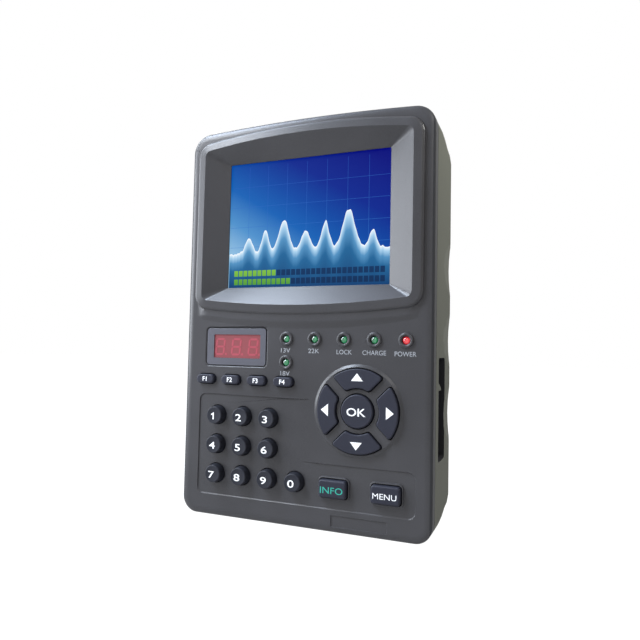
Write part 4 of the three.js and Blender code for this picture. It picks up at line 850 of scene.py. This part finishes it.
def makeDome(node):
    x, z = middle(node)
    radius, base, flangeStart = dome["radius"], dome["base"], dome["base"] - dome["flangeHeight"]
    profile = [(radius * sine, -dome["rise"] + radius * (1 - cosine)) for sine, cosine in bend(10)]
    profile += [(radius, flangeStart), (radius + dome["flange"], flangeStart),
                (radius + dome["flange"], base), (0, base)]
    bm = bmesh.new()
    turned(bm, x, z, profile, 40)
    legEnd, half = nodeSpan(node)[3], dome["leg"] / 2
    for side in (-1, 1):
        legX = x + side * dome["legPitch"] / 2
        cuboid(bm, legX - half, legX + half, base - 0.4, legEnd, z - half, z + half)
    # a map from the upper left to the lower right of the dome, which the painted light follows
    gather = bm.loops.layers.uv.new("gather")
    for face in bm.faces:
        for loop in face.loops:
            across, up = (loop.vert.co.x - x) / radius, (loop.vert.co.z - z) / radius
            loop[gather].uv = (0.5 + 0.45 * (across * 0.9 - up * 0.45), 0.5)
    piece = asObject(bm, node.replace("led_", "lamp") + "Dome")
    look, slot = ("lampRed", "red_lamp") if node == "led_power" else ("lampGreen", "green_lamp")
    finishPiece(piece, finishes[look], stands=[node], angle=40)
    # the dome's faces outside its clear middle are painted near-black: painted shade of the lamp hole
    secondLook(piece, "lampShadeRing", lambda face: math.hypot(
        face.center.x / mm - x, face.center.z / mm - z) > dome["clear"])


for node in lampNodes:
    makeDome(node)


# Legends
legends = {
    "thickness": 0.03, "sizeShare": 1.38, "arrowReach": 12.6, "arrowTip": 1.6, "arrowBack": 1.3,
    "arrowHalf": 2.3,
    "number": {"height": 2.85, "stretch": 1.48, "bold": 0.03, "shift": (-0.5, -0.35),
               "depth": keys["dish"] - keys["numberRise"]},
    "soft": {"height": 1.9, "stretch": 1, "bold": 0.03, "shift": (-0.1, 0), "depth": -keys["softRise"]},
    "info": {"height": 2.5, "stretch": 1.18, "bold": 0, "shift": (-0.2, -0.4),
             "depth": -keys["wideRise"]},
    "menu": {"height": 2.15, "stretch": 1.14, "bold": -0.01, "shift": (-0.2, -0.4),
             "depth": -keys["wideRise"]},
    "ok": {"height": 3.0, "stretch": 1.22, "bold": 0.04, "shift": (-0.2, -0.3),
           "depth": keys["dish"] - keys["okRise"]},
    "one": [(-0.1, -1.4), (0.45, -1.4), (0.45, 1.4), (0.1, 1.4), (-0.3, 1.0), (-0.85, 0.78),
            (-0.85, 0.3), (-0.1, 0.55)],
}
lampWords = {
    "led_13v": {"shift": (-0.3, -4.55), "stretch": 1.15},
    "led_22k": {"shift": (-0.3, -4.55), "stretch": 1.15},
    "led_lock": {"shift": (0.2, -4.75), "stretch": 0.95},
    "led_charge": {"shift": (0, -4.8), "stretch": 0.95},
    "led_power": {"shift": (-0.2, -5.0), "stretch": 0.95},
    "led_18v": {"shift": (-0.3, -4.4), "stretch": 1.15},
}


def lettering(name, words, node, look, material, body="root"):
    # flat letters standing a little proud of the surface that carries them
    thickness = legends["thickness"]
    curve = bpy.data.curves.new(name, "FONT")
    curve.body = words
    curve.size = look["height"] * legends["sizeShare"]
    curve.extrude = thickness / 2
    curve.offset = look["bold"]
    curve.resolution_u = 6
    curve.align_x = "CENTER"
    letters = inScene(name, curve)
    mesh = meshOf(letters)
    bpy.data.objects.remove(letters)
    ends = [(min(v.co[i] for v in mesh.vertices), max(v.co[i] for v in mesh.vertices)) for i in (0, 1)]
    mesh.transform(Matrix.Translation((-sum(ends[0]) / 2, -sum(ends[1]) / 2, 0)))
    mesh.transform(Matrix.Diagonal((look["stretch"], 1, 1, 1)))
    mesh.transform(Matrix.Rotation(quarter, 4, "X"))
    x, z = middle(node)
    across, up = look["shift"]
    mesh.transform(Matrix.Translation((x + across, faceY + look["depth"] - thickness / 2, z + up)))
    mesh.transform(Matrix.Scale(mm, 4))
    finishPiece(inScene(name, mesh), material, body, angle=30, weighted=False)


def flatMark(name, points, depth, node):
    # a plain white shape on a key
    piece = shaped(name, prism, points, depth - legends["thickness"], depth)
    finishPiece(piece, finishes["legendWhite"], f"{node}_body", weighted=False)


def keyLegend(name, words, node, kind, look="legendWhite"):
    lettering(name, words, node, legends[kind], finishes[look], f"{node}_body")


for n, node in enumerate(numberNodes):
    if n == 1:
        x, z = middle(node)
        across, up = legends["number"]["shift"]
        flatMark("digit1", [(x + across + a, z + up + b) for a, b in legends["one"]],
                 legends["number"]["depth"], node)
    else:
        keyLegend(f"digit{n}", str(n), node, "number")
for n, node in enumerate(softNodes, 1):
    keyLegend(f"legendF{n}", f"F{n}", node, "soft")
keyLegend("legendInfo", "INFO", "key_info", "info", "legendTeal")
keyLegend("legendMenu", "MENU", "key_menu", "menu")
keyLegend("legendOk", "OK", "key_ok", "ok")
for node, label in lampWords.items():
    words = node[4:].upper()
    lettering("label" + words, words, node, {"height": 1.8, "bold": 0, "depth": 0, **label},
              finishes["legendGrey"])
for turn, node in enumerate(arrowNodes):
    aim = turn * quarter
    x, z = padX + legends["arrowReach"] * math.cos(aim), padZ + legends["arrowReach"] * math.sin(aim)
    back, half = -legends["arrowBack"], legends["arrowHalf"]
    points = [(x + a * math.cos(aim) - b * math.sin(aim), z + a * math.sin(aim) + b * math.cos(aim))
              for a, b in ((legends["arrowTip"], 0), (back, half), (back, -half))]
    flatMark("arrow" + node[4:].title(), points, -keys["arrowRise"], node)
print("legends ready")


# Read-out
readout = {"slant": 0.1, "digitHeight": 6.3, "digitWidth": 3.7, "bar": 0.8, "gap": 0.12,
           "centres": (-36.3, -28.7, -20.9), "middleZ": 69.15, "dot": 0.5, "dotShift": (0.95, 0.1),
           "face": 0.45, "digitFront": 0.4, "digitBack": 0.46, "faceGap": 0.02,
           "windowThickness": 0.6, "windowEdge": 0.12, "holeCorner": 0.4}


def segment(x, z, length, upright):
    # one bar of a digit: a long hexagon
    half, thick = length / 2 - readout["gap"], readout["bar"] / 2
    shape = [(-half, 0), (-half + thick, -thick), (half - thick, -thick), (half, 0),
             (half - thick, thick), (-half + thick, thick)]
    if upright:
        shape = [(-b, a) for a, b in shape]
    return [(x + a, z + b) for a, b in shape]


def makeWindow():
    # the tinted window with the display showing through its hole
    start = nodeSpan("readout_window")[2]
    left, right, _, _, bottom, top = nodeSpan("digit_block")
    window = shaped("readoutWindow", plate, recessRing(0), start, start + readout["windowThickness"],
                    readout["windowEdge"])
    hole = outline(left, right, bottom, top, readout["holeCorner"], steps=6)
    combine(window, shaped("hole", prism, hole, start - 0.5, start + 1), "DIFFERENCE")
    finishPiece(window, finishes["windowTint"], stands=["readout_window"])


def makeDigits(bm):
    # three slanted digits of seven bars, each with its dot
    width, height, middleZ = readout["digitWidth"], readout["digitHeight"], readout["middleZ"]
    start, end = readout["digitFront"], readout["digitBack"]
    bars = [(0, height / 2, width, False), (0, 0, width, False), (0, -height / 2, width, False)]
    bars += [(x * width / 2, z * height / 4, height / 2, True) for x in (-1, 1) for z in (-1, 1)]
    across, up = readout["dotShift"]
    for centre in readout["centres"]:
        for x, z, length, upright in bars:
            hexagon = segment(centre + x, middleZ + z, length, upright)
            prism(bm, [(a + readout["slant"] * (b - middleZ), b) for a, b in hexagon], start, end)
        rod(bm, centre + width / 2 + across, middleZ - height / 2 + up, readout["dot"], start, end, 16)


def makeDisplay():
    left, right, _, back, bottom, top = nodeSpan("digit_block")
    gap = readout["faceGap"]
    face = shaped("displayFace", cuboid, left + gap, right - gap, readout["face"], back,
                  bottom + gap, top - gap)
    finishPiece(face, finishes["displayRed"], stands=["digit_block"])
    finishPiece(shaped("displayDigits", makeDigits), finishes["digitRed"], weighted=False)


makeWindow()
makeDisplay()


# The lit screen
picture = {
    "plane": 3.66, "thickness": 0.03, "foot": 0.1, "base": 0.27, "peaks": 0.6, "jitter": 0.02,
    "humps": ((0.13, 0.035, 0.2), (0.24, 0.03, 0.3), (0.36, 0.045, 0.42), (0.5, 0.04, 0.26),
              (0.62, 0.035, 0.36), (0.76, 0.05, 0.5), (0.9, 0.03, 0.22)),
    "crest": 0.45, "crestThickness": 0.02, "gridLine": 0.1, "gridMargin": 1.5, "gridSide": 0.2,
    "blocks": 30, "blockPitch": 2.2, "blockWidth": 1.8, "blockHeight": 2.4, "rowPitch": 3.6,
    "rowStart": (2.5, 1.2), "litBlocks": (12, 9), "blockDepths": (-0.02, 0.02), "barShare": 0.13,
    "uprightDepths": (0.005, 0.03), "levelDepths": (0.001, 0.028), "ripples": (60, 3.1), "skyTurn": 0.8,
    "sky": ((0.14, tone(150, 195, 225)), (0.3, tone(80, 145, 200)), (0.45, tone(16, 96, 176)),
            (0.58, tone(4, 70, 158)), (0.72, tone(2, 34, 136)), (0.95, tone(0, 2, 118))),
    "fill": ((0, tone(232, 244, 250)), (0.1, tone(168, 208, 234)), (0.26, tone(84, 146, 190)),
             (0.5, tone(34, 100, 146)), (1, tone(14, 62, 108))),
    "bright": (tone(240, 250, 255), tone(255, 255, 255)), "grid": (tone(60, 130, 205), tone(40, 84, 180)),
    "lit": (tone(64, 140, 26), tone(128, 190, 46)), "dim": (tone(8, 40, 72), tone(12, 50, 86)),
}


def lit(surface, colour):
    # it glows in this colour and hardly mirrors the room
    surface.feed(colour, "Emission Color")
    surface.setValues(Base_Color=(0.004, 0.006, 0.02, 1), Emission_Strength=1.0, Roughness=0.5,
                      Specular_IOR_Level=0.02)
    return surface.material


def screenSky():
    # deep blue, lighter towards the lower left
    surface = Surface("screenSky")
    slope = surface.node("ShaderNodeMath", {1: picture["skyTurn"]}, operation="MULTIPLY_ADD")
    left, right, bottom, top = litArea
    surface.link(surface.along("X", left, right), slope.inputs[0])
    surface.link(surface.along("Z", bottom, top), slope.inputs[2])
    scaled = surface.node("ShaderNodeMath", {1: 1 + picture["skyTurn"]}, operation="DIVIDE")
    surface.link(slope.outputs[0], scaled.inputs[0])
    return lit(surface, surface.ramp(scaled.outputs[0], *picture["sky"]))


def underCrest():
    # nearly white at the crest, a darker and darker blue below it
    surface = Surface("spectrumFill")
    return lit(surface, surface.ramp(surface.fromMap("depth", "Y"), *picture["fill"]))


def fading(name, colours, low, high):
    # a lit colour that changes with height
    surface = Surface(name)
    return lit(surface, surface.ramp(surface.along("Z", low, high), (0, colours[0]), (1, colours[1])))


def sheet(bm, lower, upper, depth, thickness, mapName=None):
    # a thin sheet between two lines of places; its map, if it has one, is the way down it
    layer = bm.loops.layers.uv.new(mapName) if mapName else None
    for i in range(len(lower) - 1):
        corners = (lower[i], lower[i + 1], upper[i + 1], upper[i])
        face = bm.faces.new([bm.verts.new((x, faceY + depth, z)) for x, z in corners])
        if mapName:
            for loop, down in zip(face.loops, (1, 1, 0, 0)):
                loop[layer].uv = (i / (len(lower) - 1), down)
    bmesh.ops.remove_doubles(bm, verts=bm.verts, dist=1e-4)
    grown = bmesh.ops.extrude_face_region(bm, geom=bm.faces[:])["geom"]
    bmesh.ops.translate(bm, verts=[g for g in grown if isinstance(g, bmesh.types.BMVert)],
                        vec=(0, thickness, 0))


def spectrumLevel(u):
    # height of the spectrum at a share of the width
    humps = sum(h * math.exp(-((u - c) / w) ** 2) for c, w, h in picture["humps"])
    scale, row = picture["ripples"]
    ripple = noise.noise(Vector((u * scale, row, 0)))
    return picture["base"] + picture["peaks"] * humps + picture["jitter"] * ripple


def onScreen(name, material, make, *values, stands=()):
    finishPiece(shaped(name, make, *values), material, stands=stands, weighted=False)


def boxes(bm, sides, depths):
    # one box for each set of left, right, bottom and top
    start, end = (picture["plane"] + depth for depth in depths)
    for left, right, bottom, top in sides:
        cuboid(bm, left, right, start, end, bottom, top)


def makeScreen():
    pane = outline(glass[0], glass[1], glass[4], glass[5], front["screenCorner"], steps=3)
    onScreen("screenPane", screenSky(), prism, pane, glass[2], glass[3], stands=["screen_glass"])

    left, right, bottom, top = litArea
    width, height, plane = right - left, top - bottom, picture["plane"]
    footZ, count = bottom + picture["foot"], 220
    crest = [(left + width * i / count, bottom + height * spectrumLevel(i / count)) for i in range(count + 1)]
    onScreen("spectrum", underCrest(), sheet, [(x, footZ) for x, z in crest], crest, plane,
             picture["thickness"], "depth")
    half = picture["crest"] / 2
    onScreen("spectrumCrest", fading("crestLine", picture["bright"], footZ, top), sheet,
             [(x, z - half) for x, z in crest], [(x, z + half) for x, z in crest],
             plane - picture["thickness"], picture["crestThickness"])

    # the grid behind the spectrum; its two sets of lines lie at slightly different depths
    half, gridTop, side = picture["gridLine"] / 2, top - picture["gridMargin"], picture["gridSide"]
    uprights = [(x - half, x + half, footZ, gridTop) for x in (left + width * i / 8 for i in range(1, 8))]
    levels = [(left + side, right - side, z - half, z + half)
              for z in (footZ + (gridTop - footZ) * i / 6 for i in range(1, 6))]
    onScreen("gridUprights", fading("gridGlow", picture["grid"], bottom, top), boxes, uprights,
             picture["uprightDepths"])
    onScreen("gridLevels", fading("gridGlowLevels", picture["grid"], bottom, top), boxes, levels,
             picture["levelDepths"])

    # two level bars along the foot, made of small blocks
    barTop = bottom + height * picture["barShare"]
    green = fading("barGreen", picture["lit"], bottom, barTop)
    dim = fading("barDim", picture["dim"], bottom, barTop)
    for row, litCount in enumerate(picture["litBlocks"]):
        z = bottom + picture["rowStart"][1] + row * picture["rowPitch"]
        places = [left + picture["rowStart"][0] + i * picture["blockPitch"] for i in range(picture["blocks"])]
        blocks = [(x, x + picture["blockWidth"], z, z + picture["blockHeight"]) for x in places]
        onScreen(f"levelBar{row + 1}Lit", green, boxes, blocks[:litCount], picture["blockDepths"])
        onScreen(f"levelBar{row + 1}Dim", dim, boxes, blocks[litCount:], picture["blockDepths"])


makeScreen()
print("screen ready")


# What keeps its CAD shape
slotLooks = {
    "key_rubber": "keyRubber", "circuit_board": "boardGreen", "tin_plate": "tinPlate",
    "nickel_plate": "nickelPlate", "black_plastic": "blackPlastic", "screw_steel": "screwSteel",
    "battery_wrap": "batterySleeve", "screen": "blackPlastic", "front_paint": "frontPaint",
    "rear_paint": "rearPaint", "readout_lens": "windowTint", "red_digits": "displayRed",
    "green_lamp": "lampGreen", "red_lamp": "lampRed",
}
for part in frame["record"]["subparts"]:
    node = frame["nodes"][part["node"]]
    look = "coneBlack" if part["node"] == "speaker" else slotLooks[part["material_slot"]]
    for place in node.material_slots:
        place.material = finishes[look]
